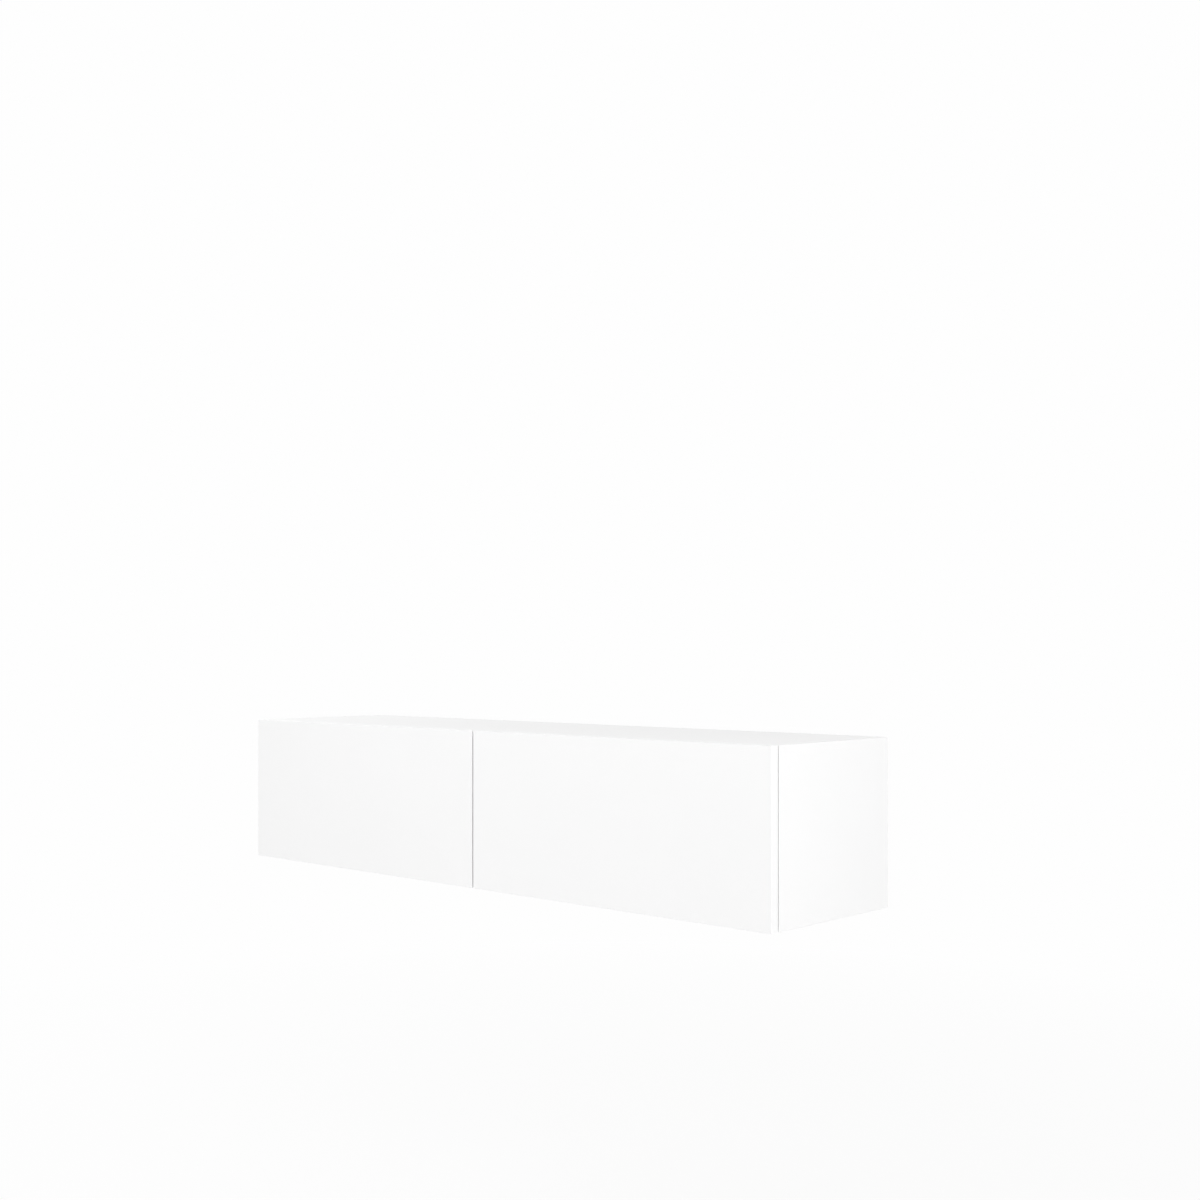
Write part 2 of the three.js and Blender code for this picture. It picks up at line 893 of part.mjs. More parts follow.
function latchPlunger(side) {
  const radius = latchBoreRadius - clearance;
  const nose = radius / 2;
  const profile = [
    [0, 0],
    [nose, 0],
    [radius, nose],
    [radius, plungerLength],
    [0, plungerLength],
  ];
  return turned(profile, at(side * flapMiddleX, plungerTipY, latchZ), back, discSides);
}

// A helical compression spring between the plunger's end and the back of the bore
function latchSpring(side) {
  const startY = plungerEndY + springWire + clearance;
  const endY = latchFrontY + latchLength - latchBackWall - springWire - clearance;
  const x = side * flapMiddleX;
  const steps = springTurns * springStepsPerTurn;
  const rings = [];
  for (let step = 0; step <= steps; step += 1) {
    const angle = (step / springStepsPerTurn) * Math.PI * 2;
    const y = startY + ((endY - startY) * step) / steps;
    rings.push(springRing(x, y, angle));
  }
  return solidOf(tubeOfRings(rings));
}

function springRing(x, y, angle) {
  return Array.from({ length: springSides }, (_, index) => {
    const turn = (index / springSides) * Math.PI * 2;
    const radius = springRadius + springWire * Math.cos(turn);
    const lift = springWire * Math.sin(turn);
    return [x + radius * Math.cos(angle), y + lift, latchZ + radius * Math.sin(angle)];
  });
}

function tubeOfRings(rings) {
  const count = rings[0].length;
  const points = rings.flat();
  const index = [];
  for (let ring = 0; ring < rings.length - 1; ring += 1) {
    for (let point = 0; point < count; point += 1) {
      const a = ring * count + point;
      const b = ring * count + ((point + 1) % count);
      index.push(a, b, a + count, b, b + count, a + count);
    }
  }
  const last = (rings.length - 1) * count;
  for (let point = 1; point < count - 1; point += 1) {
    index.push(0, point + 1, point);
    index.push(last, last + point, last + point + 1);
  }
  const geometry = new THREE.BufferGeometry();
  geometry.setAttribute("position", new THREE.Float32BufferAttribute(points.flat(), 3));
  geometry.setIndex(index);
  return geometry;
}

function strikePlate(side) {
  const x = side * flapMiddleX;
  const faceY = flapBackY + strikeThickness;
  return bar(at(x, flapBackY, latchZ), at(x, faceY, latchZ), strikeRadius, discSides);
}

// Small domes on the bottom panel's front edge that the flaps close against
function bumper(x) {
  const height = frontGap - clearance;
  const profile = [
    [0, 0],
    [bumperRadius, 0],
    [bumperRadius * bumperDomeShare, height],
    [0, height],
  ];
  return turned(profile, at(x, edgeY, baseZ + boardThickness / 2), forward, pinSides);
}

// The console as a scene graph
const mediaConsole = new THREE.Group();

function add(name, solid, material) {
  const mesh = new THREE.Mesh(geometryOf(solid), material);
  mesh.name = name;
  mediaConsole.add(mesh);
}

add("top_panel", topPanel(), whiteLaminate());
add("bottom_panel", bottomPanel(), whiteLaminate());
add("centre_partition", centrePartition(), whiteLaminate());
add("back_panel", backPanel(), whiteHardboard());
add("wall_rail", wallRail(), zincSteel());

for (const side of sides) {
  const name = sideNames[side];
  add(`${name}_side_panel`, sidePanel(side), whiteLaminate());
  add(`${name}_cable_grommet`, cableGrommet(side), whitePlastic());
  add(`${name}_hanger_case`, hangerCase(side), zincSteel());
  add(`${name}_hanger_hook`, hangerHook(side), zincSteel());
  add(`${name}_hanger_cover`, hangerCover(side), whitePlastic());
  add(`${name}_stay_housing`, stayHousing(side), greyPlastic());
  add(`${name}_stay_cover`, stayCover(side), greyPlastic());
  add(`${name}_stay_pivot_pin`, stayPivotPin(side), springSteel());
  add(`${name}_stay_arm`, stayArm(side), nickelSteel());
  add(`${name}_stay_link`, stayLink(side), nickelSteel());
  add(`${name}_latch_housing`, latchHousing(side), greyPlastic());
  add(`${name}_latch_plunger`, latchPlunger(side), whitePlastic());
  add(`${name}_latch_spring`, latchSpring(side), springSteel());
  add(`${name}_flap`, flap(side), whiteLaminate());
  add(`${name}_flap_edge_band`, flapEdgeBand(side), whiteEdge());
  add(`${name}_flap_bracket`, flapBracket(side), nickelSteel());
  add(`${name}_strike_plate`, strikePlate(side), zincSteel());

  // Each flap has an inner hinge and bumper near the middle and an outer pair near its end
  const bumperPlaces = [side * (flapInnerX + bumperSideInset), side * (halfWidth - bumperSideInset)];
  ["inner", "outer"].forEach((place, index) => {
    const x = hingePlaces(side)[index];
    add(`${name}_${place}_hinge_arm`, hingeArm(x), nickelSteel());
    add(`${name}_${place}_hinge_plate`, hingePlate(x), nickelSteel());
    add(`${name}_${place}_hinge_cup`, hingeCup(x), nickelSteel());
    add(`${name}_${place}_hinge_pin`, hingePin(x), springSteel());
    add(`${name}_${place}_bumper`, bumper(bumperPlaces[index]), clearRubber());
  });
}

export default mediaConsole;
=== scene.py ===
import math

import bmesh
import bpy
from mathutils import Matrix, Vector


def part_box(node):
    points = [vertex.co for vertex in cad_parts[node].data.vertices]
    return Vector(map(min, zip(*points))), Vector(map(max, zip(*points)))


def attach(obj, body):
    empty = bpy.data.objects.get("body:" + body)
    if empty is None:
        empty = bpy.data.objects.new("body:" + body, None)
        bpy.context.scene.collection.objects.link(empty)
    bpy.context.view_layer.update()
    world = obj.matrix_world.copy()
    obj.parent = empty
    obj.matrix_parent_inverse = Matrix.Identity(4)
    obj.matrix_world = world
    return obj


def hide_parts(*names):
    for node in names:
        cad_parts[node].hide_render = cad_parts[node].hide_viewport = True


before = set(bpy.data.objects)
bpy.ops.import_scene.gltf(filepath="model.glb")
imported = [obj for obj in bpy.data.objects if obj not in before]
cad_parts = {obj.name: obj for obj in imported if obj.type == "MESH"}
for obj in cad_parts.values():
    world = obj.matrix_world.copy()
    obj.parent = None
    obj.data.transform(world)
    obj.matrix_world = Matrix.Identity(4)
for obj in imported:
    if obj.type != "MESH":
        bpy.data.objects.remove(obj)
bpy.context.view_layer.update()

mm = 0.001
right, back, up = Vector((1, 0, 0)), Vector((0, 1, 0)), Vector((0, 0, 1))
left, forward, down = -right, -back, -up
sides = {"left": -1, "right": 1}
hair = 0.001 * mm  # a point this near to a plane lies in it
overrun = 2 * mm  # how far a cutting tool stands out of what it cuts
aligned = 0.99  # cosine from which two directions count as one
smoothAngle = 32  # degrees between faces that are shaded as one
pinSides, boreSides, discSides, cupSides = 24, 32, 40, 64  # sides of the turned shapes


# selecting, placing and shaping, as by hand

def takeHold(piece):
    bpy.ops.object.select_all(action="DESELECT")
    piece.select_set(True)
    bpy.context.view_layer.objects.active = piece


def settle(piece, name):
    takeHold(piece)
    bpy.ops.object.transform_apply()
    piece.name = piece.data.name = name
    return piece


def addBlock(name, low, high):
    low, high = Vector(low), Vector(high)
    bpy.ops.mesh.primitive_cube_add(size=1, location=(low + high) / 2, scale=high - low)
    return settle(bpy.context.object, name)


def addRod(name, start, end, radius, count):
    start, end = Vector(start), Vector(end)
    along = end - start
    bpy.ops.mesh.primitive_cylinder_add(
        vertices=count, radius=radius, depth=along.length, location=(start + end) / 2,
        rotation=along.to_track_quat("Z", "Y").to_euler())
    return settle(bpy.context.object, name)


def addPeg(name, at, axis, start, end, radius, count=boreSides):
    # a rod through a point along one axis, from one level to another
    first, last = at.copy(), at.copy()
    setattr(first, axis, start)
    setattr(last, axis, end)
    return addRod(name, first, last, radius, count)


def pick(piece, kind, test):
    # into edit mode, with only the wanted elements selected
    takeHold(piece)
    bpy.ops.object.mode_set(mode="EDIT")
    bpy.ops.mesh.select_mode(type=kind)
    bpy.ops.mesh.select_all(action="DESELECT")
    shape = bmesh.from_edit_mesh(piece.data)
    for element in {"VERT": shape.verts, "EDGE": shape.edges, "FACE": shape.faces}[kind]:
        if test(element):
            element.select_set(True)
    bmesh.update_edit_mesh(piece.data)


def putDown():
    bpy.ops.object.mode_set(mode="OBJECT")


def edited(piece, kind, test, change, **settings):
    # one change, in edit mode, to what passes the test
    pick(piece, kind, test)
    change(**settings)
    putDown()
    return piece


def inPlane(axis, level):
    return lambda element: all(abs(getattr(v.co, axis) - level) < hair for v in element.verts)


def facing(direction):
    return lambda face: face.normal.dot(direction) > aligned


def resizedFace(piece, direction, scale, centre):
    return edited(
        piece, "FACE", facing(direction), bpy.ops.transform.resize, value=scale, center_override=centre)


def bevelled(piece, width, steps, test):
    return edited(piece, "EDGE", test, bpy.ops.mesh.bevel, offset=width, segments=steps)


def roundCorners(piece, along, radius, steps, where=lambda point: True):
    # rounds the edges that run along one direction
    def wanted(edge):
        a, b = (v.co for v in edge.verts)
        return abs((b - a).normalized().dot(along)) > aligned and where((a + b) / 2)
    return bevelled(piece, radius, steps, wanted)


def insetFace(piece, direction, *steps):
    # each step is how far in the rim moves, and how far the face sinks
    pick(piece, "FACE", facing(direction))
    for width, sink in steps:
        bpy.ops.mesh.inset(thickness=width, depth=-sink)
    putDown()
    return piece


def applied(piece, kind, **settings):
    takeHold(piece)
    modifier = piece.modifiers.new(kind.lower(), kind)
    for name, value in settings.items():
        setattr(modifier, name, value)
    bpy.ops.object.modifier_apply(modifier=modifier.name)
    return piece


def easeEdges(piece, width, angle=30, steps=2):
    return applied(piece, "BEVEL", width=width, segments=steps, limit_method="ANGLE",
                   angle_limit=math.radians(angle))


def combined(piece, others, operation):
    for other in others:
        applied(piece, "BOOLEAN", object=other, operation=operation, solver="EXACT")
        bpy.data.objects.remove(other)
    return piece


def cutOut(piece, *tools):
    return combined(piece, tools, "DIFFERENCE")


def fuse(piece, *others):
    return combined(piece, others, "UNION")


def turnOut(piece):
    # faces outwards again after a fold or a mirror
    return edited(piece, "FACE", lambda face: True, bpy.ops.mesh.normals_make_consistent)


def stretchedRod(name, start, end, radius, across, count=boreSides):
    # a rod whose far half is pulled away to the second pivot: a bar with round ends
    rod, reach = addRod(name, start, start + across, radius, count), end - start
    return edited(rod, "VERT", lambda v: (v.co - start).dot(reach.normalized()) > hair,
                  bpy.ops.transform.translate, value=reach)


def foldedStrip(name, folds, fromX, toX, sheet):
    # drawn point by point, pulled out along x and given its thickness
    bpy.ops.mesh.primitive_plane_add(size=sheet, location=(fromX, *folds[0]))
    strip = settle(bpy.context.object, name)
    pick(strip, "VERT", lambda v: True)
    bpy.ops.mesh.merge(type="CENTER")
    for (y0, z0), (y1, z1) in zip(folds, folds[1:]):
        bpy.ops.mesh.extrude_region_move(TRANSFORM_OT_translate={"value": (0, y1 - y0, z1 - z0)})
    bpy.ops.mesh.select_all(action="SELECT")
    bpy.ops.mesh.extrude_region_move(TRANSFORM_OT_translate={"value": (toX - fromX, 0, 0)})
    putDown()
    return turnOut(applied(strip, "SOLIDIFY", thickness=sheet, offset=-1, use_even_offset=True))


def copied(piece, name, shift=(0, 0, 0)):
    takeHold(piece)
    bpy.ops.object.duplicate()
    twin = bpy.context.object
    twin.location = shift
    return settle(twin, name)


def mirrored(piece, name):
    twin = copied(piece, name)
    twin.scale.x = -1
    return turnOut(settle(twin, name))


def setOut(name, master, places, outward):
    # copies of a master on the origin, set on the places and joined
    made = []
    for place in places:
        one = copied(master, name)
        one.rotation_euler = outward.to_track_quat("Z", "Y").to_euler()
        one.location = place
        made.append(settle(one, name))
    takeHold(made[0])
    for one in made:
        one.select_set(True)
    bpy.ops.object.join()
    return settle(bpy.context.object, name)


def finishPiece(piece, slot, *nodes, body="carcass"):
    # smooth only over the roundings, so that the flats stay flat
    takeHold(piece)
    bpy.ops.object.shade_smooth_by_angle(angle=math.radians(smoothAngle))
    applied(piece, "WEIGHTED_NORMAL", keep_sharp=True)
    if not piece.data.materials:
        piece.data.materials.append(finishes[slot])
    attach(piece, body)
    if nodes:
        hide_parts(*nodes)


def bodyOn(side, body):
    return body if body == "carcass" else f"{side}_{body}"


def bothSides(piece, slot, *nodes, body="carcass"):
    # the right-hand piece and its mirror; nodes and body are named without side
    twin = mirrored(piece, piece.name.replace("right_", "left_"))
    for side, one in (("right", piece), ("left", twin)):
        finishPiece(one, slot, *(f"{side}_{node}" for node in nodes), body=bodyOn(side, body))


# shader maths: a socket that takes part in plain sums, and the tree it lives in

class Signal:
    def __init__(self, nodes, socket):
        self.nodes, self.socket = nodes, socket

    def maths(self, operation, *terms):
        settings = {"operation": operation}
        return self.nodes.node("ShaderNodeMath", settings, places=dict(enumerate(terms)))

    def __add__(self, other):
        return self.maths("ADD", self, other)

    def __sub__(self, other):
        return self.maths("SUBTRACT", self, other)

    def __rsub__(self, other):
        return self.maths("SUBTRACT", other, self)

    def __mul__(self, other):
        return self.maths("MULTIPLY", self, other)

    def __gt__(self, other):
        return self.maths("GREATER_THAN", self, other)

    __radd__, __rmul__ = __add__, __mul__

    def swing(self, amount):
        # moves up and down round nothing
        return (self - 0.5) * amount


class Nodes:
    # the nodes of a material or a world, added one by one
    def __init__(self, owner):
        owner.use_nodes = True
        self.owner, self.tree = owner, owner.node_tree
        self.tree.nodes.clear()

    def node(self, kind, settings=None, output=0, places=None, **sockets):
        made = self.tree.nodes.new(kind)
        for name, value in (settings or {}).items():
            setattr(made, name, value)
        named = {name.replace("_", " "): value for name, value in sockets.items()}
        for place, value in {**named, **(places or {})}.items():
            if isinstance(value, Signal):
                self.tree.links.new(value.socket, made.inputs[place])
            else:
                made.inputs[place].default_value = value
        return Signal(self, made.outputs[output]) if made.outputs else None

    def position(self, stretch=(1, 1, 1)):
        return self.node(
            "ShaderNodeMapping", Scale=stretch, Vector=self.node("ShaderNodeTexCoord", output="Object"))

    def depth(self):
        return self.node("ShaderNodeSeparateXYZ", output="Y", Vector=self.position())

    def noise(self, scale, detail=2.0, stretch=(1, 1, 1), roughness=0.5):
        return self.node("ShaderNodeTexNoise", Vector=self.position(stretch), Scale=scale,
                         Detail=detail, Roughness=roughness)

    def mix(self, share, first, second):
        first, second = (c if isinstance(c, Signal) else (*c, 1) for c in (first, second))
        return self.node("ShaderNodeMix", {"data_type": "RGBA"}, 2, {0: share, 6: first, 7: second})

    def spread(self, value, low, high, toLow=0.0, toHigh=1.0):
        return self.node("ShaderNodeMapRange", {"clamp": True}, Value=value,
                         From_Min=low, From_Max=high, To_Min=toLow, To_Max=toHigh)

    def tinted(self, value, look):
        # the look's shade and colour, mixed between its edges
        return self.mix(self.spread(value, *look["edges"]), look["shade"], look["colour"])

    def close(self, output, surface):
        self.node(output, Surface=surface)
        return self.owner

    def painted(self, colour, roughness, height, depth, **constants):
        normal = self.node("ShaderNodeBump", Height=height, Distance=depth)
        shader = self.node("ShaderNodeBsdfPrincipled", Base_Color=colour, Roughness=roughness,
                           Normal=normal, **constants)
        return self.close("ShaderNodeOutputMaterial", shader)


def newFinish(name):
    return Nodes(bpy.data.materials.new(name))


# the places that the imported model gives

def middle(node):
    low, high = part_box(node)
    return (low + high) / 2


flapLow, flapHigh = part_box("right_flap_edge_band")
topLow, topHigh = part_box("top_panel")
bottomLow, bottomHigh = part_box("bottom_panel")
backLow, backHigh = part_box("back_panel")
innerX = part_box("right_side_panel")[0].x
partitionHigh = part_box("centre_partition")[1]
ceiling, floorTop = topLow.z, bottomHigh.z
hingeNodes = [f"{side}_{place}_hinge" for side in sides for place in ("inner", "outer")]


def pairOn(node, along, reach, **given):
    # two places beside a node's middle, some of its coordinates given
    centre = middle(node)
    for axis, value in given.items():
        setattr(centre, axis, value)
    return [centre - along * reach, centre + along * reach]


# finishes: a noise mixes each one's shade and colour between two edges of its value

laminateLook = {
    "colour": (0.93, 0.93, 0.93), "shade": (0.925, 0.925, 0.925), "edges": (0.35, 0.65),
    "clouds": (5, 3), "pearl": (1500,),  # each noise: its scale, then its detail
    "roughness": 0.42, "cloudGloss": 0.05, "pearlGloss": 0.04,
    "pearlDepth": 0.012 * mm,  # the fine pearl of the pressed foil
    "wallEdge": 0.06 * mm,  # behind this depth the boards are bare
}
chipLook = {
    "colour": (0.66, 0.50, 0.32), "shade": (0.30, 0.19, 0.10), "edges": (0.35, 1.0),
    "flakes": 480, "stretch": (0.6, 1, 1.3), "flakeShare": 0.5, "grain": (900, 4),
    "relief": 8, "rougher": 0.35,
}


def laminate(look=laminateLook, chip=chipLook):
    # satin white foil, with bare chips on the edges that lie on the wall
    made = newFinish("satin white laminate")
    pearl, clouds = made.noise(*look["pearl"]), made.noise(*look["clouds"])
    flakes = made.node("ShaderNodeTexVoronoi", output="Color", Scale=chip["flakes"],
                       Vector=made.position(chip["stretch"]))
    chips = made.node("ShaderNodeSeparateColor", output="Red", Color=flakes)  # one tone for each flake
    board = made.tinted(chips * chip["flakeShare"] + made.noise(*chip["grain"]), chip)
    bare = made.depth() > -look["wallEdge"]
    roughness = (look["roughness"] + clouds.swing(look["cloudGloss"]) + pearl.swing(look["pearlGloss"])
                 + bare * chip["rougher"])
    height = pearl + bare * chips * chip["relief"]
    return made.painted(
        made.mix(bare, made.tinted(clouds, look), board), roughness, height, look["pearlDepth"])


hardboardLook = {
    "lacquer": {"colour": (0.89, 0.89, 0.885), "shade": (0.87, 0.87, 0.865), "edges": (0.3, 0.7)},
    "fibre": {"colour": (0.40, 0.26, 0.145), "shade": (0.20, 0.115, 0.058), "edges": (0.35, 0.62)},
    "fibres": (260, 8, (1, 1, 2.2), 0.65), "clouds": (14, 4), "peel": (700, 3), "fibreShare": 0.7,
    "roughness": 0.5, "peelGloss": 0.1, "rearRougher": 0.28, "relief": 3, "depth": 0.03 * mm,
    "rearSkin": 0.05 * mm,
}


def hardboard(look=hardboardLook):
    # white lacquer towards the compartments, brown fibres towards the wall
    made = newFinish("hardboard")
    rear = made.depth() > backHigh.y - look["rearSkin"]
    fibres, clouds, peel = (made.noise(*look[layer]) for layer in ("fibres", "clouds", "peel"))
    mottle = fibres * look["fibreShare"] + clouds * (1 - look["fibreShare"])
    colour = made.mix(rear, made.tinted(clouds, look["lacquer"]), made.tinted(mottle, look["fibre"]))
    roughness = look["roughness"] + rear * look["rearRougher"] + peel.swing(look["peelGloss"])
    height = peel * (1 - rear) + fibres * rear * look["relief"]
    return made.painted(colour, roughness, height, look["depth"])


bandLook = {"colour": (0.932, 0.932, 0.932), "shade": (0.928, 0.928, 0.928), "edges": (0.3, 0.7),
            "clouds": 9, "grain": 2400, "grainGloss": 0.08, "roughness": 0.40, "depth": 0.008 * mm}
mouldedLook = {"edges": (0.3, 0.7), "clouds": 25, "grain": 3200, "grainGloss": 0.14, "depth": 0.02 * mm}
plasticLooks = {
    "white": {"colour": (0.90, 0.90, 0.89), "shade": (0.87, 0.87, 0.86), "roughness": 0.38},
    "grey": {"colour": (0.40, 0.41, 0.42), "shade": (0.36, 0.37, 0.38), "roughness": 0.42},
    "dark": {"colour": (0.06, 0.06, 0.065), "shade": (0.045, 0.045, 0.05), "roughness": 0.45},
}


def grained(name, look):
    # one colour with soft clouds and a fine grain, for edge bands and mouldings
    made = newFinish(name)
    grain = made.noise(look["grain"])
    roughness = look["roughness"] + grain.swing(look["grainGloss"])
    return made.painted(made.tinted(made.noise(look["clouds"]), look), roughness, grain, look["depth"])


platingLook = {
    "edges": (0.35, 0.65), "lines": (900, 3), "clouds": (60, 4), "lineShare": 0.5, "cloudGloss": 0.1}
steelLooks = {
    "zinc-plated": {"colour": (0.72, 0.73, 0.75), "shade": (0.60, 0.62, 0.65), "roughness": 0.36,
                    "stretch": (0.03, 1, 1), "streak": 0.16, "depth": 0.006 * mm},
    "nickel-plated": {"colour": (0.78, 0.77, 0.75), "shade": (0.74, 0.73, 0.715), "roughness": 0.25,
                      "stretch": (1, 0.4, 1), "streak": 0.07, "depth": 0.003 * mm},
    "bright": {"colour": (0.58, 0.58, 0.60), "shade": (0.46, 0.46, 0.48), "roughness": 0.28,
               "stretch": (1, 1, 1), "streak": 0.12, "depth": 0.004 * mm},
}


def steel(name):
    # fine lines the way the sheet was drawn, and soft clouds in the plating
    made, look = newFinish(f"{name} steel"), platingLook | steelLooks[name]
    lines, clouds = made.noise(*look["lines"], look["stretch"]), made.noise(*look["clouds"])
    shade = made.tinted(lines * look["lineShare"] + clouds * (1 - look["lineShare"]), look)
    roughness = look["roughness"] + lines.swing(look["streak"]) + clouds.swing(look["cloudGloss"])
    return made.painted(shade, roughness, lines, look["depth"], Metallic=1.0)


rubberLook = {"colour": (0.88, 0.89, 0.90), "shade": (0.85, 0.86, 0.87), "haze": 250, "roughness": 0.22,
              "hazeGloss": 0.1, "depth": 0.01 * mm, "clear": 0.15, "refraction": 1.45}


def softClear(look=rubberLook):
    made = newFinish("clear soft plastic")
    haze = made.noise(look["haze"])
    return made.painted(made.mix(haze, look["shade"], look["colour"]),
                        look["roughness"] + haze * look["hazeGloss"], haze, look["depth"],
                        Transmission_Weight=look["clear"], IOR=look["refraction"])


whitePlastic, greyPlastic, darkPlastic = (
    grained(f"moulded {name} plastic", mouldedLook | look) for name, look in plasticLooks.items())
zincSteel, nickelSteel, springSteel = (steel(name) for name in steelLooks)
finishes = {
    "white_laminate": laminate(), "white_edge": grained("satin white edge band", bandLook),
    "white_hardboard": hardboard(), "white_plastic": whitePlastic, "grey_plastic": greyPlastic,
    "zinc_steel": zincSteel, "nickel_steel": nickelSteel, "clear_rubber": softClear(),
}
print("finishes made")


# screws and other turned steel, all modelled head up on the origin

screwLook = {
    "headRadius": 3.5 * mm, "headHeight": 1.8 * mm, "dome": (1.0 * mm, 4),  # any rounding: radius, steps
    "shankRadius": 1.7 * mm, "shankSides": 16, "length": 11 * mm, "tip": 2.5 * mm, "pointShare": 0.2,
    "cross": (4.2 * mm, 0.9 * mm, 1.3 * mm),  # span, width, depth
    "crossFoot": 0.6, "holeMargin": 0.3 * mm,
}


def crossTools(height, cross):
    # two bars that cut a cross into a head, a little narrower at their foot
    (span, width, depth), foot, tools = cross, screwLook["crossFoot"], []
    top, deep = up * height, up * depth
    for long, short in ((span, width), (width, span)):
        half = Vector((long / 2, short / 2, 0))
        tool = addBlock("cross", top - half - deep, top + half + deep)
        tools.append(resizedFace(tool, down, (foot, foot, 1), top - deep))
    return tools


def modelScrew(look=screwLook):
    height, length, point = look["headHeight"], look["length"], look["pointShare"]
    head = addRod("screw", (0, 0, 0), up * height, look["headRadius"], pinSides)
    bevelled(head, *look["dome"], inPlane("z", height))
    shank = addRod("shank", down * (length - look["tip"]), up * height / 2, look["shankRadius"],
                   look["shankSides"])
    edited(shank, "FACE", facing(down), bpy.ops.mesh.extrude_region_move,
           TRANSFORM_OT_translate={"value": down * look["tip"]})
    resizedFace(shank, down, (point, point, 1), down * length)
    return cutOut(fuse(head, shank), *crossTools(height, look["cross"]))


def pinsAt(name, look, places, outward):
    # headless pins with an eased rim and a cross in their end
    pin = addRod("pin", down * look["length"], (0, 0, 0), look["radius"], discSides)
    bevelled(pin, *look["rim"], inPlane("z", 0))
    cutOut(pin, *crossTools(0, look["cross"]))
    pins = setOut(name, pin, places, outward)
    bpy.data.objects.remove(pin)
    return pins


masterScrew = modelScrew()


def screwsAt(name, heads, into):
    return setOut(name, masterScrew, heads, -into)


def screwHoles(heads, into, look=screwLook):
    above, deep = into * look["headHeight"], into * (look["length"] + look["holeMargin"])
    radius, count = look["shankRadius"] + look["holeMargin"], look["shankSides"]
    return [addRod("hole", head - above, head + deep, radius, count) for head in heads]


# concealed hinges: cup in the flap, arm and plate under the top, all four alike

hingeLook = {
    "bowlRadius": 17.2 * mm, "bowlWall": 0.8 * mm, "bowlRound": (1.2 * mm, 4),
    "hollowRound": (1 * mm, 4), "flangeRadius": 18.4 * mm, "flange": 1 * mm,
    "earHalf": 8 * mm, "earRound": (6.5 * mm, 8), "earEase": 0.25 * mm,
    "boreRadius": 17.5 * mm, "boreDepth": 12 * mm,  # the hole in the flap
    "eyeRadius": 2.3 * mm, "boreForPin": 1.4 * mm, "neckHalf": 1.8 * mm,
    "hookHalf": 3.8 * mm, "hookRoot": 3.2 * mm, "hookRound": (3 * mm, 6), "notchRound": (1.8 * mm, 5),
    "shoulder": 12 * mm,  # from the axis to the channel of the arm
    "armHalf": 6 * mm, "armSheet": 2 * mm, "armEnd": (2.2 * mm, 5), "armRound": (1.6 * mm, 4),
    "plate": 3 * mm, "plateHalf": 8 * mm, "plateEase": (0.3 * mm, 2),
    "wingRound": (7.6 * mm, 8), "spineRound": (2.5 * mm, 8),
    "plateScrews": 16 * mm, "cupScrews": 22.5 * mm,  # from the middle to each screw
    "setScrews": (22 * mm, 54 * mm), "setBore": 2.95 * mm, "setShow": 0.2 * mm,
    "setScrew": {"radius": 2.7 * mm, "length": 7 * mm, "rim": (0.4 * mm, 2),
                 "cross": (3.4 * mm, 0.8 * mm, 1.4 * mm)},
}


def plateScrewPlaces(hinge, look=hingeLook):
    return pairOn(hinge + "_plate", right, look["plateScrews"], z=ceiling - look["plate"])


def cupScrewPlaces(hinge, look=hingeLook):
    return pairOn(hinge + "_cup", right, look["cupScrews"], y=flapHigh.y + look["flange"])


def setScrewPlaces(hinge, look=hingeLook):
    # the two that set the flap's gap and height, seen from below
    axis, z = middle(hinge + "_pin"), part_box(hinge + "_arm")[0].z + look["setShow"]
    return [Vector((axis.x, axis.y + distance, z)) for distance in look["setScrews"]]


def modelCup(hinge, look=hingeLook):
    low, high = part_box(hinge + "_cup")
    at, half = (low + high) / 2, look["earHalf"]
    mouth, inside = flapHigh.y + look["flange"], low.y + look["bowlWall"]
    bowl = addPeg("cup_steel", at, "y", low.y, mouth, look["bowlRadius"], cupSides)
    bevelled(bowl, *look["bowlRound"], inPlane("y", low.y))
    collar = addPeg("collar", at, "y", flapHigh.y, mouth, look["flangeRadius"], cupSides)
    ears = addBlock("ears", (low.x, flapHigh.y, at.z - half), (high.x, mouth, at.z + half))
    easeEdges(roundCorners(ears, back, *look["earRound"]), look["earEase"], angle=60)
    radius = look["bowlRadius"] - look["bowlWall"]
    hollow = addPeg("hollow", at, "y", inside, mouth + overrun, radius, cupSides)
    bevelled(hollow, *look["hollowRound"], inPlane("y", inside))
    return cutOut(fuse(bowl, collar, ears), hollow, *screwHoles(cupScrewPlaces(hinge), forward))


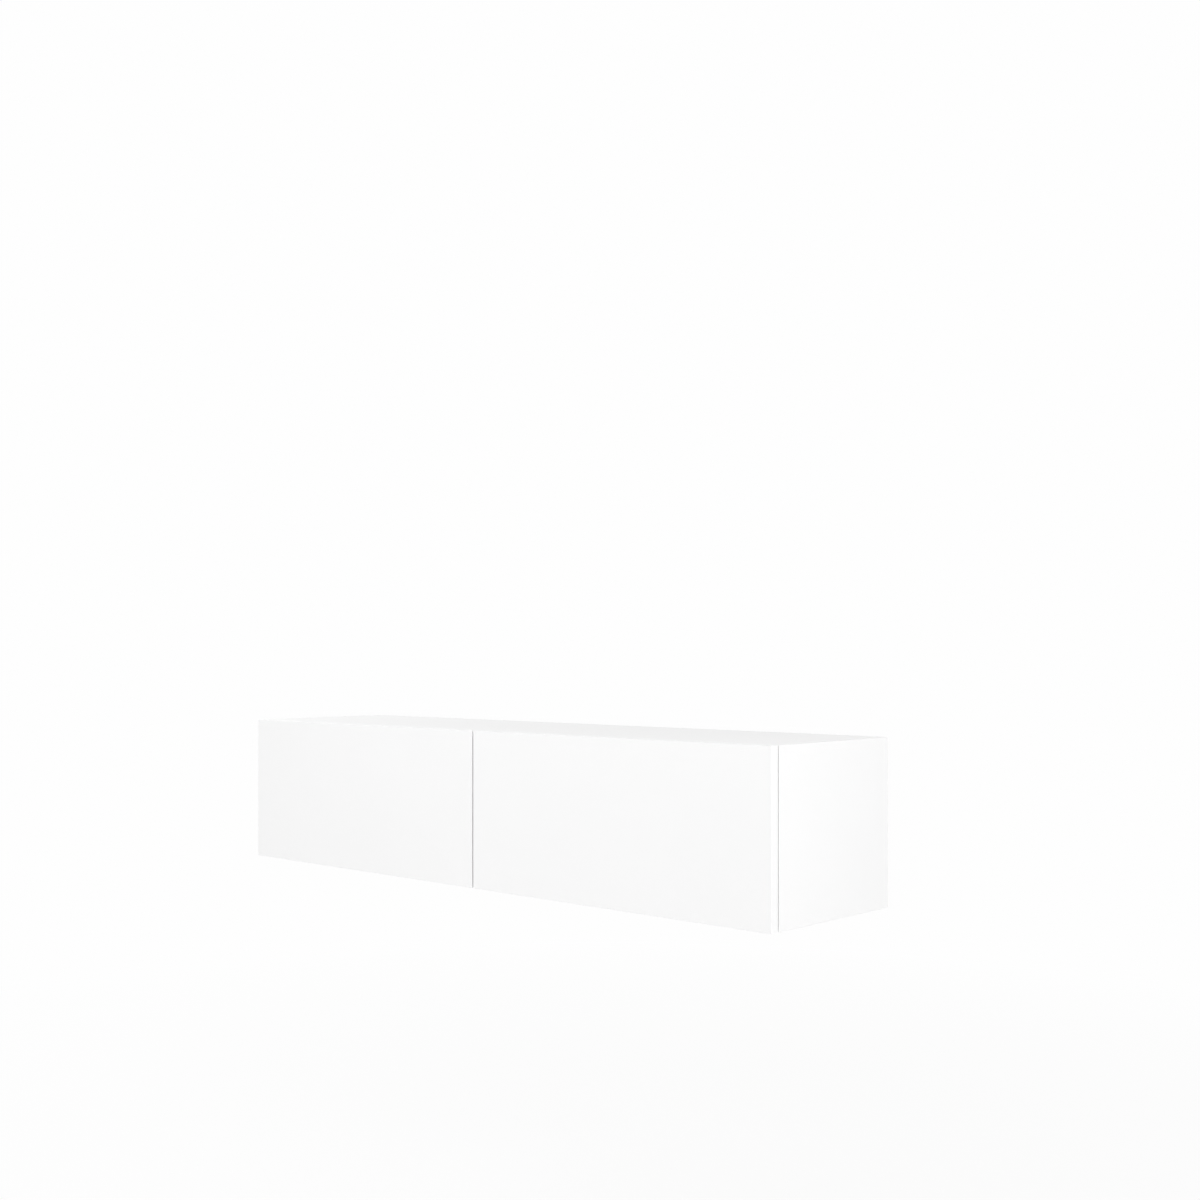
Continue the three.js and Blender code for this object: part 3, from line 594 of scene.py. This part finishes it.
def modelArm(hinge, look=hingeLook):
    # a hooked neck that reaches into the cup, and a folded channel behind it
    low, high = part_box(hinge + "_arm")
    axis = middle(hinge + "_pin")
    half, neck, sheet, wide = look["hookHalf"], look["neckHalf"], look["armSheet"], look["armHalf"]
    top, shoulder = ceiling - look["plate"], axis.y + look["shoulder"]
    root = low.z + look["hookRoot"]
    arm = addBlock(
        "arm_steel", (axis.x - half, axis.y - neck, low.z), (axis.x + half, shoulder + sheet / 2, top))
    roundCorners(arm, right, *look["hookRound"], lambda m: m.y < axis.y and m.z < root)
    notch = addBlock("notch", (axis.x - half - overrun, axis.y + neck, root),
                     (axis.x + half + overrun, shoulder - sheet, top + overrun))
    roundCorners(
        notch, right, *look["notchRound"], lambda m: m.z < root + hair and m.y < axis.y + neck + hair)
    channel = addBlock("channel", (axis.x - wide, shoulder, low.z), (axis.x + wide, high.y, top))
    roundCorners(channel, up, *look["armEnd"])
    roundCorners(channel, back, *look["armRound"], lambda m: m.z < low.z + hair)
    cutOut(channel, addBlock("hollow", (axis.x - wide + sheet, shoulder + sheet, low.z + sheet),
                             (axis.x + wide - sheet, high.y + overrun, top + overrun)))
    eye = addPeg("eye", axis, "x", axis.x - half, axis.x + half, look["eyeRadius"])
    rise = addBlock(
        "rise", (axis.x - half, axis.y - neck, top - sheet / 2), (axis.x + half, axis.y + neck, axis.z))
    fuse(cutOut(arm, notch), rise, eye, channel)
    half += overrun
    cutOut(arm, addPeg("bore", axis, "x", axis.x - half, axis.x + half, look["boreForPin"], pinSides))
    for spot in setScrewPlaces(hinge):
        cutOut(arm, addPeg("hole", spot, "z", low.z - overrun, low.z + sheet + mm, look["setBore"]))
    return arm


def modelPlate(hinge, look=hingeLook):
    low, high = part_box(hinge + "_plate")
    centre, half, base = (low + high) / 2, look["plateHalf"], ceiling - look["plate"]
    wings = addBlock("plate_steel", (low.x, centre.y - half, base), (high.x, centre.y + half, ceiling))
    spine = addBlock("spine", (centre.x - half, low.y, base), (centre.x + half, high.y, ceiling))
    for part, rounding in ((wings, look["wingRound"]), (spine, look["spineRound"])):
        bevelled(roundCorners(part, up, *rounding), *look["plateEase"], inPlane("z", base))
    return cutOut(fuse(wings, spine), *screwHoles(plateScrewPlaces(hinge), up))


def buildHinges(look=hingeLook):
    # each row holds a master, its slot, its body and the node that it replaces
    first = "right_inner_hinge"
    masters = (
        (modelCup(first), "nickel_steel", "flap_leaf", "cup"),
        (screwsAt("cup_screws", cupScrewPlaces(first), forward), "nickel_steel", "flap_leaf"),
        (modelArm(first), "nickel_steel", "carcass", "arm"),
        (pinsAt("set_screws", look["setScrew"], setScrewPlaces(first), down), "zinc_steel", "carcass"),
        (modelPlate(first), "nickel_steel", "carcass", "plate"),
        (screwsAt("plate_screws", plateScrewPlaces(first), up), "nickel_steel", "carcass"),
    )
    for hinge in hingeNodes:
        shift = right * (middle(hinge + "_cup").x - middle(first + "_cup").x)
        for master, slot, body, *nodes in masters:
            finishPiece(copied(master, f"{hinge}_{master.name}", shift), slot,
                        *(f"{hinge}_{node}" for node in nodes), body=bodyOn(hinge.split("_")[0], body))
    for row in masters:
        bpy.data.objects.remove(row[0])


# lift stays: a spring box on the side board, an arm, a link and a bracket on the flap

stayLook = {
    "boxRound": (8 * mm, 8), "boxEase": (0.9 * mm, 3), "rimInset": 1.6 * mm, "rim": 0.5 * mm,
    "lidRound": (3 * mm, 6), "lidEase": (0.5 * mm, 3), "boxScrews": 28 * mm,
    "barRadius": 8 * mm, "barSides": 48, "sheet": 2.5 * mm, "barEase": 0.4 * mm,
    "slotRadius": 2.6 * mm, "slotShare": (0.28, 0.72),
    "pinRadius": 3 * mm, "pinBore": 3.3 * mm, "pinSeat": 3 * mm, "pinProud": 3.3 * mm,
    "rivetRadius": 5 * mm, "rivetHead": 1.5 * mm, "rivetRound": (1.1 * mm, 4),
    "bracket": 2 * mm, "bracketRound": (4 * mm, 6), "bracketEase": 0.3 * mm, "bracketShy": 0.1 * mm,
    "earRound": (7.9 * mm, 14), "earShy": 0.8 * mm,
    "bracketScrews": 14 * mm, "bracketInset": 12.5 * mm,
}


def stayScrewPlaces(look=stayLook):
    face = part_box("right_stay_cover")[1].x
    return pairOn("right_stay_housing", back, look["boxScrews"], x=face)


def bracketScrewPlaces(look=stayLook):
    node = "right_flap_bracket"
    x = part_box(node)[1].x - look["pinProud"] - look["bracketInset"]
    return pairOn(node, up, look["bracketScrews"], x=x, y=flapHigh.y + look["bracket"])


def pivotPlaces():
    # box pin, elbow and bracket pin, in the plane of depth and height
    pin = middle("right_stay_pivot_pin")
    low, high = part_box("right_stay_link")
    radius = stayLook["barRadius"]
    return (Vector((0, pin.y, pin.z)), Vector((0, high.y - radius, low.z + radius)),
            Vector((0, low.y + radius, high.z - radius)))


def modelBar(name, topX, first, second, look=stayLook):
    # a flat bar with round ends and a long slot, its outer face at topX
    outer, clear = right * topX, right * overrun
    across = left * look["sheet"]
    bar = stretchedRod(name, outer + first, outer + second, look["barRadius"], across, look["barSides"])
    easeEdges(bar, look["barEase"], angle=60)
    near, far = (outer + clear + first.lerp(second, share) for share in look["slotShare"])
    slot = stretchedRod("slot", near, far, look["slotRadius"], across - 2 * clear, pinSides)
    return cutOut(bar, slot)


def pinHole(topX, thick, pivot):
    return addPeg("eye", pivot, "x", topX + overrun, topX - thick - overrun, stayLook["pinBore"])


def buildStayBox(pivot, look=stayLook):
    low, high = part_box("right_stay_housing")
    lidLow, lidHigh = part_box("right_stay_cover")
    face = lidHigh.x
    box = addBlock("right_stay_box", (face, low.y, low.z), (innerX, high.y, high.z))
    bevelled(roundCorners(box, right, *look["boxRound"]), *look["boxEase"], inPlane("x", face))
    rim = look["rim"]
    insetFace(box, left, (look["rimInset"], 0), (rim, rim), (rim, 0), (rim, -rim))
    seat = addPeg("seat", pivot, "x", face - overrun, innerX - look["pinSeat"], look["pinBore"])
    cutOut(box, seat, *screwHoles(stayScrewPlaces(), right))
    lid = addBlock("right_stay_lid", lidLow, lidHigh)
    bevelled(roundCorners(lid, right, *look["lidRound"]), *look["lidEase"], inPlane("x", lidLow.x))
    cutOut(lid, pinHole(face, face - lidLow.x, pivot))
    lid.data.materials.append(darkPlastic)  # darker than the box
    screws = screwsAt("right_stay_screws", stayScrewPlaces(), right)
    bothSides(box, "grey_plastic", "stay_housing")
    bothSides(lid, "grey_plastic", "stay_cover")
    bothSides(screws, "zinc_steel")


def buildStayBars(pivot, elbow, bracket, look=stayLook):
    low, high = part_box("right_stay_arm")
    sheet = look["sheet"]
    arm = cutOut(modelBar("right_lift_arm", high.x, pivot, elbow), pinHole(high.x, sheet, pivot))
    head, foot = low.x + look["rivetHead"], low.x + look["rivetHead"] / 2
    rivet = addPeg("rivet", elbow, "x", high.x - sheet / 2, foot, look["pinRadius"])
    button = addPeg("button", elbow, "x", head, low.x, look["rivetRadius"])
    fuse(arm, rivet, bevelled(button, *look["rivetRound"], inPlane("x", low.x)))
    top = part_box("right_stay_link")[1].x
    link = cutOut(modelBar("right_lift_link", top, elbow, bracket),
                  pinHole(top, sheet, elbow), pinHole(top, sheet, bracket))
    bothSides(arm, "nickel_steel", "stay_arm", body="arm")
    bothSides(link, "nickel_steel", "stay_link", body="link")


def buildBrackets(pivot, look=stayLook):
    # a plate on the flap, and an ear that widens towards it
    low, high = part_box("right_flap_bracket")
    top, sheet, radius = high.x - look["pinProud"], look["sheet"], look["barRadius"]
    inner = flapHigh.y
    plate = addBlock("right_bracket", (low.x, inner, low.z),
                     (top - look["bracketShy"], inner + look["bracket"], high.z))
    roundCorners(plate, back, *look["bracketRound"], lambda m: m.x < low.x + hair)
    foot = inner + look["bracket"] / 2
    ear = addBlock(
        "ear", (top - sheet, foot, pivot.z - radius), (top, pivot.y + radius, pivot.z + radius))
    roundCorners(ear, right, *look["earRound"], lambda m: m.y > pivot.y)
    spread = (high.z - low.z - look["earShy"]) / 2 / radius
    resizedFace(ear, forward, (1, 1, spread), (top, foot, pivot.z))
    for part in (plate, ear):
        easeEdges(part, look["bracketEase"], angle=50)
    fuse(plate, ear)
    pin = addPeg("pin", pivot, "x", top - sheet / 2, high.x, look["pinRadius"])
    cutOut(fuse(plate, pin), *screwHoles(bracketScrewPlaces(), forward))
    screws = screwsAt("right_bracket_screws", bracketScrewPlaces(), forward)
    bothSides(plate, "nickel_steel", "flap_bracket", body="flap_leaf")
    bothSides(screws, "nickel_steel", body="flap_leaf")


# push latches and strike plates

latchLook = {
    "bodyHalf": 9 * mm, "height": 18 * mm, "round": (3 * mm, 6), "ease": 0.4 * mm,
    "ear": 3 * mm, "earDepth": 14 * mm, "earRound": (5 * mm, 6),
    "screwReach": 17 * mm, "screwBack": 7 * mm,
    "bore": 5 * mm, "boreEnd": 4 * mm, "funnel": 0.8 * mm, "funnelOut": 1 * mm, "funnelWide": 1.36,
    "plunger": 4.7 * mm, "nose": (1.6 * mm, 5), "tipRim": 0.3 * mm, "tipStep": 0.1 * mm,
    "strikeSides": 56, "strikeEase": (0.35 * mm, 3), "strikeRim": 5 * mm,
    "strikeStep": 0.5 * mm, "strikeSink": 0.4 * mm,
}


def latchScrewPlaces(look=latchLook):
    node = "right_latch_housing"
    y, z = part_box(node)[0].y + look["screwBack"], floorTop + look["ear"]
    return pairOn(node, right, look["screwReach"], y=y, z=z)


def buildLatches(look=latchLook):
    low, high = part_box("right_latch_housing")
    tipLow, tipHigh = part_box("right_latch_plunger")
    at, half = (tipLow + tipHigh) / 2, look["bodyHalf"]
    body = addBlock("right_latch_body", (at.x - half, low.y, floorTop),
                    (at.x + half, high.y, floorTop + look["height"]))
    roundCorners(body, back, *look["round"], lambda m: m.z > at.z)
    ears = addBlock(
        "ears", (low.x, low.y, floorTop), (high.x, low.y + look["earDepth"], floorTop + look["ear"]))
    roundCorners(ears, up, *look["earRound"])
    fuse(easeEdges(body, look["ease"], angle=50), easeEdges(ears, look["ease"], angle=50))
    bore = addPeg("bore", at, "y", low.y - overrun, high.y - look["boreEnd"], look["bore"], discSides)
    mouth, throat = low.y - look["funnelOut"], low.y + look["funnel"]
    funnel = addPeg("funnel", at, "y", mouth, throat, look["bore"], discSides)
    resizedFace(funnel, forward, (look["funnelWide"], 1, look["funnelWide"]), at)
    cutOut(body, bore, funnel, *screwHoles(latchScrewPlaces(), down))
    bothSides(body, "grey_plastic", "latch_housing")
    bothSides(screwsAt("right_latch_screws", latchScrewPlaces(), down), "zinc_steel")

    plunger = addPeg("right_plunger_rod", at, "y", tipLow.y, tipHigh.y, look["plunger"], discSides)
    bevelled(plunger, *look["nose"], inPlane("y", tipLow.y))
    insetFace(plunger, forward, (look["tipRim"], 0), (look["tipStep"], look["tipRim"]))
    for material in (whitePlastic, zincSteel):  # a steel plate in the plastic tip
        plunger.data.materials.append(material)
    for face in plunger.data.polygons:
        inTip = face.normal.dot(forward) > aligned and (face.center - at).xz.length < look["tipRim"]
        face.material_index = int(inTip)
    bothSides(plunger, "white_plastic", "latch_plunger", body="plunger")

    low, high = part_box("right_strike_plate")
    radius = (high.z - low.z) / 2
    disc = addPeg("right_strike_disc", at, "y", low.y, high.y, radius, look["strikeSides"])
    bevelled(disc, *look["strikeEase"], inPlane("y", high.y))
    insetFace(disc, back, (look["strikeRim"], 0), (look["strikeStep"], look["strikeSink"]))
    bothSides(disc, "zinc_steel", "strike_plate", body="flap_leaf")


bumperLook = {"sides": 36, "dome": (2.0 * mm, 6)}


def buildBumpers(look=bumperLook):
    low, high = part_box("right_inner_bumper")
    at = (low + high) / 2
    master = addPeg("bumper", at, "y", low.y, high.y, (high.z - low.z) / 2, look["sides"])
    bevelled(master, *look["dome"], inPlane("y", low.y))
    for node in (hinge.replace("hinge", "bumper") for hinge in hingeNodes):
        dome = copied(master, f"{node}_dome", right * (middle(node).x - at.x))
        finishPiece(dome, "clear_rubber", node)
    bpy.data.objects.remove(master)


# cams that hold the carcass together: capped inside, open underneath

camLook = {
    "inset": 34 * mm,  # from the board they pull tight
    "capRadius": 8.5 * mm, "capSeat": 1 * mm, "capFoot": 0.6 * mm, "capProud": 0.4 * mm,
    "capRound": (0.35 * mm, 3), "capRim": 1.2 * mm, "capStep": 0.15 * mm, "capSink": 0.12 * mm,
    "capRows": (-270 * mm, -112 * mm),
    "camRows": (-270 * mm, -70 * mm), "camSunk": 0.15 * mm, "camSeat": 5 * mm, "fit": 0.25 * mm,
    "cam": {"radius": 7.5 * mm, "length": 4 * mm, "rim": (0.3 * mm, 2),
            "cross": (8 * mm, 1.6 * mm, 2 * mm)},
}


def capPlaces(x):
    return [Vector((x, y, ceiling - camLook["inset"])) for y in camLook["capRows"]]


def camPlaces(look=camLook):
    reach, z = innerX - look["inset"], bottomLow.z + look["camSunk"]
    return [Vector((x, y, z)) for x in (-reach, 0, reach) for y in look["camRows"]]


def seats(places, outward, radius, deep):
    above, below, radius = outward * overrun, outward * deep, radius + camLook["fit"]
    return [addRod("seat", spot + above, spot - below, radius, discSides) for spot in places]


def capSeats(x, outward):
    return seats(capPlaces(x), outward, camLook["capRadius"], camLook["capSeat"])


def buildCams(look=camLook):
    cap = addRod("cap", down * look["capFoot"], up * look["capProud"], look["capRadius"], discSides)
    bevelled(cap, *look["capRound"], inPlane("z", look["capProud"]))
    insetFace(cap, up, (look["capRim"], 0), (look["capStep"], look["capSink"]))
    bothSides(setOut("right_cam_caps", cap, capPlaces(innerX), left), "white_plastic")
    finishPiece(setOut("partition_cam_caps", cap, capPlaces(partitionHigh.x), right), "white_plastic")
    finishPiece(pinsAt("underside_cams", look["cam"], camPlaces(), down), "zinc_steel")
    bpy.data.objects.remove(cap)


# boards

boardLook = {
    "band": 1 * mm,  # thickness of the edge bands
    "bandRound": (0.5 * mm, 4),  # radius and steps of their outer edges
    "glueLine": 0.1 * mm,  # the fine line where board and band meet
    "fit": 0.02 * mm,
    "grooveDepth": 6 * mm, "grooveGap": 0.3 * mm,
}


def bandedBoard(name, low, high, banded, crisp=lambda edge: False, look=boardLook):
    # the board's core, and the band round the edges that are seen
    coreLow, coreHigh, toolLow, toolHigh = low.copy(), high.copy(), low.copy(), high.copy()
    for axis, letter in enumerate("xyz"):
        for sign, way, coreEnd, toolEnd in (("-", 1, coreLow, toolLow), ("+", -1, coreHigh, toolHigh)):
            edged = sign + letter in banded
            coreEnd[axis] += way * look["band"] if edged else 0
            toolEnd[axis] += way * (look["band"] + look["fit"] if edged else -overrun)
    core = easeEdges(addBlock(name + "_board", coreLow, coreHigh), look["glueLine"], steps=1)
    band = addBlock(name + "_banding", low, high)
    bevelled(band, *look["bandRound"], lambda edge: not crisp(edge))
    return core, cutOut(band, addBlock("core", toolLow, toolHigh))


def finishBoard(core, band, node):
    finishPiece(core, "white_laminate", node)
    finishPiece(band, "white_edge")


def onSideBoard(edge):
    # the arrises of the top's ends that lie on the side boards stay sharp
    return inPlane("z", ceiling)(edge) and all(abs(v.co.x) > topHigh.x - hair for v in edge.verts)


def buildCarcass(look=boardLook):
    gap, deep = look["grooveGap"], look["grooveDepth"]
    front, rear, reach = backLow.y - gap, backHigh.y + gap, backHigh.x + gap

    top, topBand = bandedBoard("top", topLow, topHigh, ("-x", "+x", "-y"), onSideBoard)
    cutOut(top, addBlock("groove", (-reach, front, ceiling - deep), (reach, rear, ceiling + deep)))
    for hinge in hingeNodes:
        cutOut(top, *screwHoles(plateScrewPlaces(hinge), up))
    finishBoard(top, topBand, "top_panel")

    bottom, bottomBand = bandedBoard("bottom", bottomLow, bottomHigh, ("-y",))
    cutOut(bottom, addBlock("groove", (-reach, front, floorTop - deep), (reach, rear, floorTop + deep)),
           *seats(camPlaces(), down, camLook["cam"]["radius"], camLook["camSeat"]))
    for sign in sides.values():
        heads = [Vector((sign * head.x, head.y, head.z)) for head in latchScrewPlaces()]
        cutOut(bottom, *screwHoles(heads, down))
    finishBoard(bottom, bottomBand, "bottom_panel")

    partition, partitionBand = bandedBoard("partition", *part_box("centre_partition"), ("-y",))
    cutOut(partition, *capSeats(partitionHigh.x, right))
    finishBoard(partition, partitionBand, "centre_partition")

    low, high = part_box("right_side_panel")
    side, sideBand = bandedBoard("right_side", low, high, ("-y", "-z"))
    groove = addBlock(
        "groove", (innerX - deep, front, backLow.z - gap), (innerX + deep, rear, high.z + deep))
    screws = stayScrewPlaces() + hangerScrewPlaces()
    cutOut(side, *screwHoles(screws, right), *capSeats(innerX, left), groove)
    bothSides(side, "white_laminate", "side_panel")
    bothSides(sideBand, "white_edge")


def buildFlaps(look=hingeLook):
    flap, flapBand = bandedBoard("right_flap", flapLow, flapHigh, ("-x", "+x", "-z", "+z"))
    face = flapHigh.y
    for hinge in ("right_inner_hinge", "right_outer_hinge"):
        bore = addPeg("bore", middle(hinge + "_cup"), "y", face + overrun, face - look["boreDepth"],
                      look["boreRadius"], cupSides)
        cutOut(flap, bore, *screwHoles(cupScrewPlaces(hinge), forward))
    cutOut(flap, *screwHoles(bracketScrewPlaces(), forward))
    bothSides(flap, "white_laminate", "flap", body="flap_leaf")
    bothSides(flapBand, "white_edge", "flap_edge_band", body="flap_leaf")


# back panel and cable grommets

backLook = {"outletRadius": 30 * mm, "slotMargin": 2 * mm, "slotDrop": 9 * mm, "ease": 0.2 * mm}


def buildBackPanel(look=backLook):
    margin, near, far = look["slotMargin"], backLow.y - overrun, backHigh.y + overrun
    panel = easeEdges(addBlock("back_board", backLow, backHigh), look["ease"], steps=1)
    for side in sides:
        low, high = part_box(f"{side}_hanger_hook")
        slot = addBlock("slot", (low.x - margin / 2, near, high.z - look["slotDrop"] - margin),
                        (high.x + margin / 2, far, high.z + margin))
        outlet = middle(f"{side}_cable_grommet")
        cutOut(panel, addPeg("hole", outlet, "y", near, far, look["outletRadius"], cupSides), slot)
    finishPiece(panel, "white_hardboard", "back_panel")


grommetLook = {
    "sides": 72, "lip": 1.5 * mm, "lipRound": (0.9 * mm, 4), "wall": 2 * mm,
    "ease": 0.4 * mm, "fit": 0.3 * mm,
}


def buildGrommets(look=grommetLook):
    low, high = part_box("right_cable_grommet")
    at, count = (low + high) / 2, look["sides"]
    radius = backLook["outletRadius"] - look["fit"]
    outer, front = (high.z - low.z) / 2, low.y + look["lip"]
    ring = addPeg("right_grommet_ring", at, "y", low.y, front, outer, count)
    bevelled(ring, *look["lipRound"], inPlane("y", low.y))
    fuse(ring, addPeg("body", at, "y", low.y + look["lip"] / 2, high.y, radius, count))
    radius -= look["wall"]
    cutOut(ring, addPeg("hollow", at, "y", low.y - overrun, high.y + overrun, radius, count))
    bothSides(easeEdges(ring, look["ease"], angle=60), "white_plastic", "cable_grommet")


# wall rail, and the hangers that hook over it

railLook = {
    "sheet": 2 * mm, "step": 4 * mm, "standOff": 6 * mm, "ease": 0.4 * mm,
    "slots": 6, "slotInset": 60 * mm, "slotLength": 12 * mm, "slotWidth": 6 * mm, "slotDrop": 8 * mm,
}


def buildRail(look=railLook):
    low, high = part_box("wall_rail")
    proud = high.y - look["standOff"]
    folds = [(high.y, low.z), (high.y, look["step"]), (proud, look["step"]), (proud, high.z)]
    rail = foldedStrip("hanging_rail", folds, low.x, high.x, look["sheet"])
    first = low.x + look["slotInset"]
    half = left * (look["slotLength"] - look["slotWidth"]) / 2
    for index in range(look["slots"]):
        centre = Vector((first - index * 2 * first / (look["slots"] - 1), proud, -look["slotDrop"]))
        cutOut(rail, stretchedRod("slot", centre + half, centre - half, look["slotWidth"] / 2,
                                  back * (look["standOff"] + overrun)))
    finishPiece(easeEdges(rail, look["ease"], angle=50), "zinc_steel", "wall_rail")


hangerLook = {
    "width": 18 * mm, "wall": 2 * mm, "shy": 0.3 * mm, "ease": 0.4 * mm,
    "capWall": 1.2 * mm, "capRound": (2.5 * mm, 5), "capEase": (0.6 * mm, 3),
    "screwReach": 13 * mm, "screwBack": 23 * mm,
    "setGap": 9 * mm, "setInset": 5.7 * mm, "caseBore": 3.25 * mm, "capBore": 3.5 * mm,
    "setScrew": {"radius": 3.2 * mm, "length": 24 * mm, "rim": (0.4 * mm, 2),
                 "cross": (3.6 * mm, 0.9 * mm, 1.6 * mm)},
    "nose": 3 * mm, "bar": 7 * mm, "noseRound": (2.2 * mm, 5), "tipRound": (1.2 * mm, 4),
    "hookEase": 0.3 * mm,
}


def hangerScrewPlaces(look=hangerLook):
    node = "right_hanger_case"
    x, y = innerX - look["wall"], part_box(node)[1].y - look["screwBack"]
    return pairOn(node, back, look["screwReach"], x=x, y=y)


def hangerSetPlaces(look=hangerLook):
    x, y = innerX - look["width"] + look["setInset"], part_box("right_hanger_case")[0].y
    return pairOn("right_hanger_cover", up, look["setGap"], x=x, y=y)


def buildHangers(look=hangerLook):
    wall, thin = look["wall"], look["capWall"]
    low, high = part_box("right_hanger_cover")
    radius, steps = look["capRound"]
    cap = roundCorners(
        addBlock("right_hanger_cap", low, high), back, radius, steps, lambda m: m.x < low.x + hair)
    bevelled(cap, *look["capEase"], inPlane("y", low.y))
    hollow = addBlock("hollow", (low.x + thin, low.y + thin, low.z + thin),
                      (high.x + overrun, high.y + overrun, high.z - thin))
    cutOut(cap, roundCorners(hollow, back, radius - thin, steps, lambda m: m.x < low.x + thin + hair))

    low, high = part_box("right_hanger_case")
    outer, front = innerX - look["width"], low.y + look["shy"]
    shell = addBlock("right_hanger_shell", (outer, front, low.z), (innerX, high.y, high.z))
    easeEdges(shell, look["ease"])
    cutOut(shell, addBlock("hollow", (outer + wall, front + wall, low.z + wall),
                           (innerX - wall, high.y + wall, high.z - wall)))
    for spot in hangerSetPlaces():
        for part, radius in ((cap, look["capBore"]), (shell, look["caseBore"])):
            cutOut(part, addPeg("hole", spot, "y", spot.y - overrun, spot.y + 2 * overrun, radius))
    cutOut(shell, *screwHoles(hangerScrewPlaces(), right))
    adjusters = pinsAt("right_hanger_adjusters", look["setScrew"], hangerSetPlaces(), forward)

    low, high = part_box("right_hanger_hook")
    hook = cutOut(addBlock("right_hook", low, high),
                  addBlock("under", (low.x - overrun, low.y - overrun, low.z - overrun),
                           (high.x + overrun, high.y - look["nose"], high.z - look["bar"])))
    roundCorners(hook, right, *look["noseRound"], lambda m: m.y > high.y - hair and m.z > high.z - hair)
    roundCorners(hook, right, *look["tipRound"], lambda m: m.z < low.z + hair)
    easeEdges(hook, look["hookEase"], angle=60)

    bothSides(cap, "white_plastic", "hanger_cover")
    bothSides(shell, "zinc_steel", "hanger_case")
    bothSides(adjusters, "nickel_steel")
    bothSides(screwsAt("right_hanger_screws", hangerScrewPlaces(), right), "zinc_steel")
    bothSides(hook, "zinc_steel", "hanger_hook")


def dressCadNodes():
    # what stays from the CAD, pins and springs inside their fittings, gets bright steel
    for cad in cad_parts.values():
        cad.data.materials.clear()
        cad.data.materials.append(finishes["white_laminate"] if cad.hide_render else springSteel)
    kept = [node for node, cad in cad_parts.items() if not cad.hide_render]
    print("kept from the CAD:", ", ".join(kept))


buildCarcass()
buildFlaps()
print("boards made")
buildBackPanel()
buildGrommets()
buildRail()
buildHangers()
print("back, rail and hangers made")
buildHinges()
print("hinges made")
pivots = pivotPlaces()
buildStayBox(pivots[0])
buildStayBars(*pivots)
buildBrackets(pivots[2])
print("stays made")
buildLatches()
buildBumpers()
buildCams()
bpy.data.objects.remove(masterScrew)
dressCadNodes()
print("latches, bumpers and cams made")


# the studio: a soft world, three lamps, and a pale floor far below

cameraLook = {
    "place": (2.13101, -2.30521, 0.19812), "turn": 42.59,
    "film": 36, "focal": 1515.36 / 1200, "shift": 52.81 / 1200,  # shares of the picture's width
}
studioLook = {
    "world": 0.58, "background": 0.991,
    "floor": -0.95, "floorSize": 60, "floorTone": 0.9,
    "shadowNear": 1.0, "shadowFar": 3.0, "shadowKept": 0.1,
}
lampLooks = {
    "left lamp": {"place": (-2.7, -1.1, 1.8), "target": (-0.6, -0.2, -0.1), "size": 1.6, "power": 39.8},
    "right lamp": {"place": (2.8, -1.1, 0.9), "target": (0.6, -0.2, -0.1), "size": 1.6, "power": 32.2},
    "front lamp": {"place": (0.0, -2.0, 0.5), "target": (0.0, -0.3, 0.0), "size": 0.8, "power": 6.4},
}


def addCamera(look=cameraLook):
    turn = (math.pi / 2, 0, math.radians(look["turn"]))
    bpy.ops.object.camera_add(location=look["place"], rotation=turn)
    camera = bpy.context.object
    camera.data.sensor_width = look["film"]
    camera.data.lens = look["focal"] * look["film"]
    camera.data.shift_y = look["shift"]
    bpy.context.scene.camera = camera


def addLamp(name, look):
    place, target = Vector(look["place"]), Vector(look["target"])
    bpy.ops.object.light_add(
        type="AREA", location=place, rotation=(target - place).to_track_quat("-Z", "Y").to_euler())
    lamp = bpy.context.object
    lamp.name = name
    lamp.data.size = look["size"]
    lamp.data.energy = look["power"]


def seenRay(made):
    # 1 for the rays that show a surface, 0 for those that only carry its light
    camera, glossy, clear = (made.node("ShaderNodeLightPath", output=kind)
                             for kind in ("Is Camera Ray", "Is Glossy Ray", "Is Transmission Ray"))
    return camera + glossy + clear > 0.5


def addWorld(look=studioLook):
    world = bpy.data.worlds.new("studio")
    bpy.context.scene.world = world
    made = Nodes(world)
    strength = seenRay(made) * (look["background"] - look["world"]) + look["world"]
    light = made.node("ShaderNodeBackground", Color=(1, 1, 1, 1), Strength=strength)
    made.close("ShaderNodeOutputWorld", light)


def addFloor(look=studioLook):
    # the shadow fades into the white background, and from below the floor is clear
    bpy.ops.mesh.primitive_plane_add(size=look["floorSize"], location=up * look["floor"])
    floor = settle(bpy.context.object, "floor")
    made = newFinish("pale floor")
    paint = made.node("ShaderNodeBsdfDiffuse", Color=(*[look["floorTone"]] * 3, 1))
    white = made.node("ShaderNodeEmission", Strength=look["background"])
    away = made.node("ShaderNodeVectorMath", {"operation": "LENGTH"}, "Value", {0: made.position()})
    plain = made.spread(away, look["shadowNear"], look["shadowFar"], 1 - look["shadowKept"], 1.0)
    above = made.node("ShaderNodeMixShader", places={0: seenRay(made) * plain, 1: paint, 2: white})
    behind = made.node("ShaderNodeNewGeometry", output="Backfacing")
    clear = made.node("ShaderNodeBsdfTransparent")
    whole = made.node("ShaderNodeMixShader", places={0: behind, 1: above, 2: clear})
    floor.data.materials.append(made.close("ShaderNodeOutputMaterial", whole))


addCamera()
addWorld()
addFloor()
for lampName, lampLook in lampLooks.items():
    addLamp(lampName, lampLook)
bpy.context.scene.view_settings.view_transform = "Standard"
print("studio made")
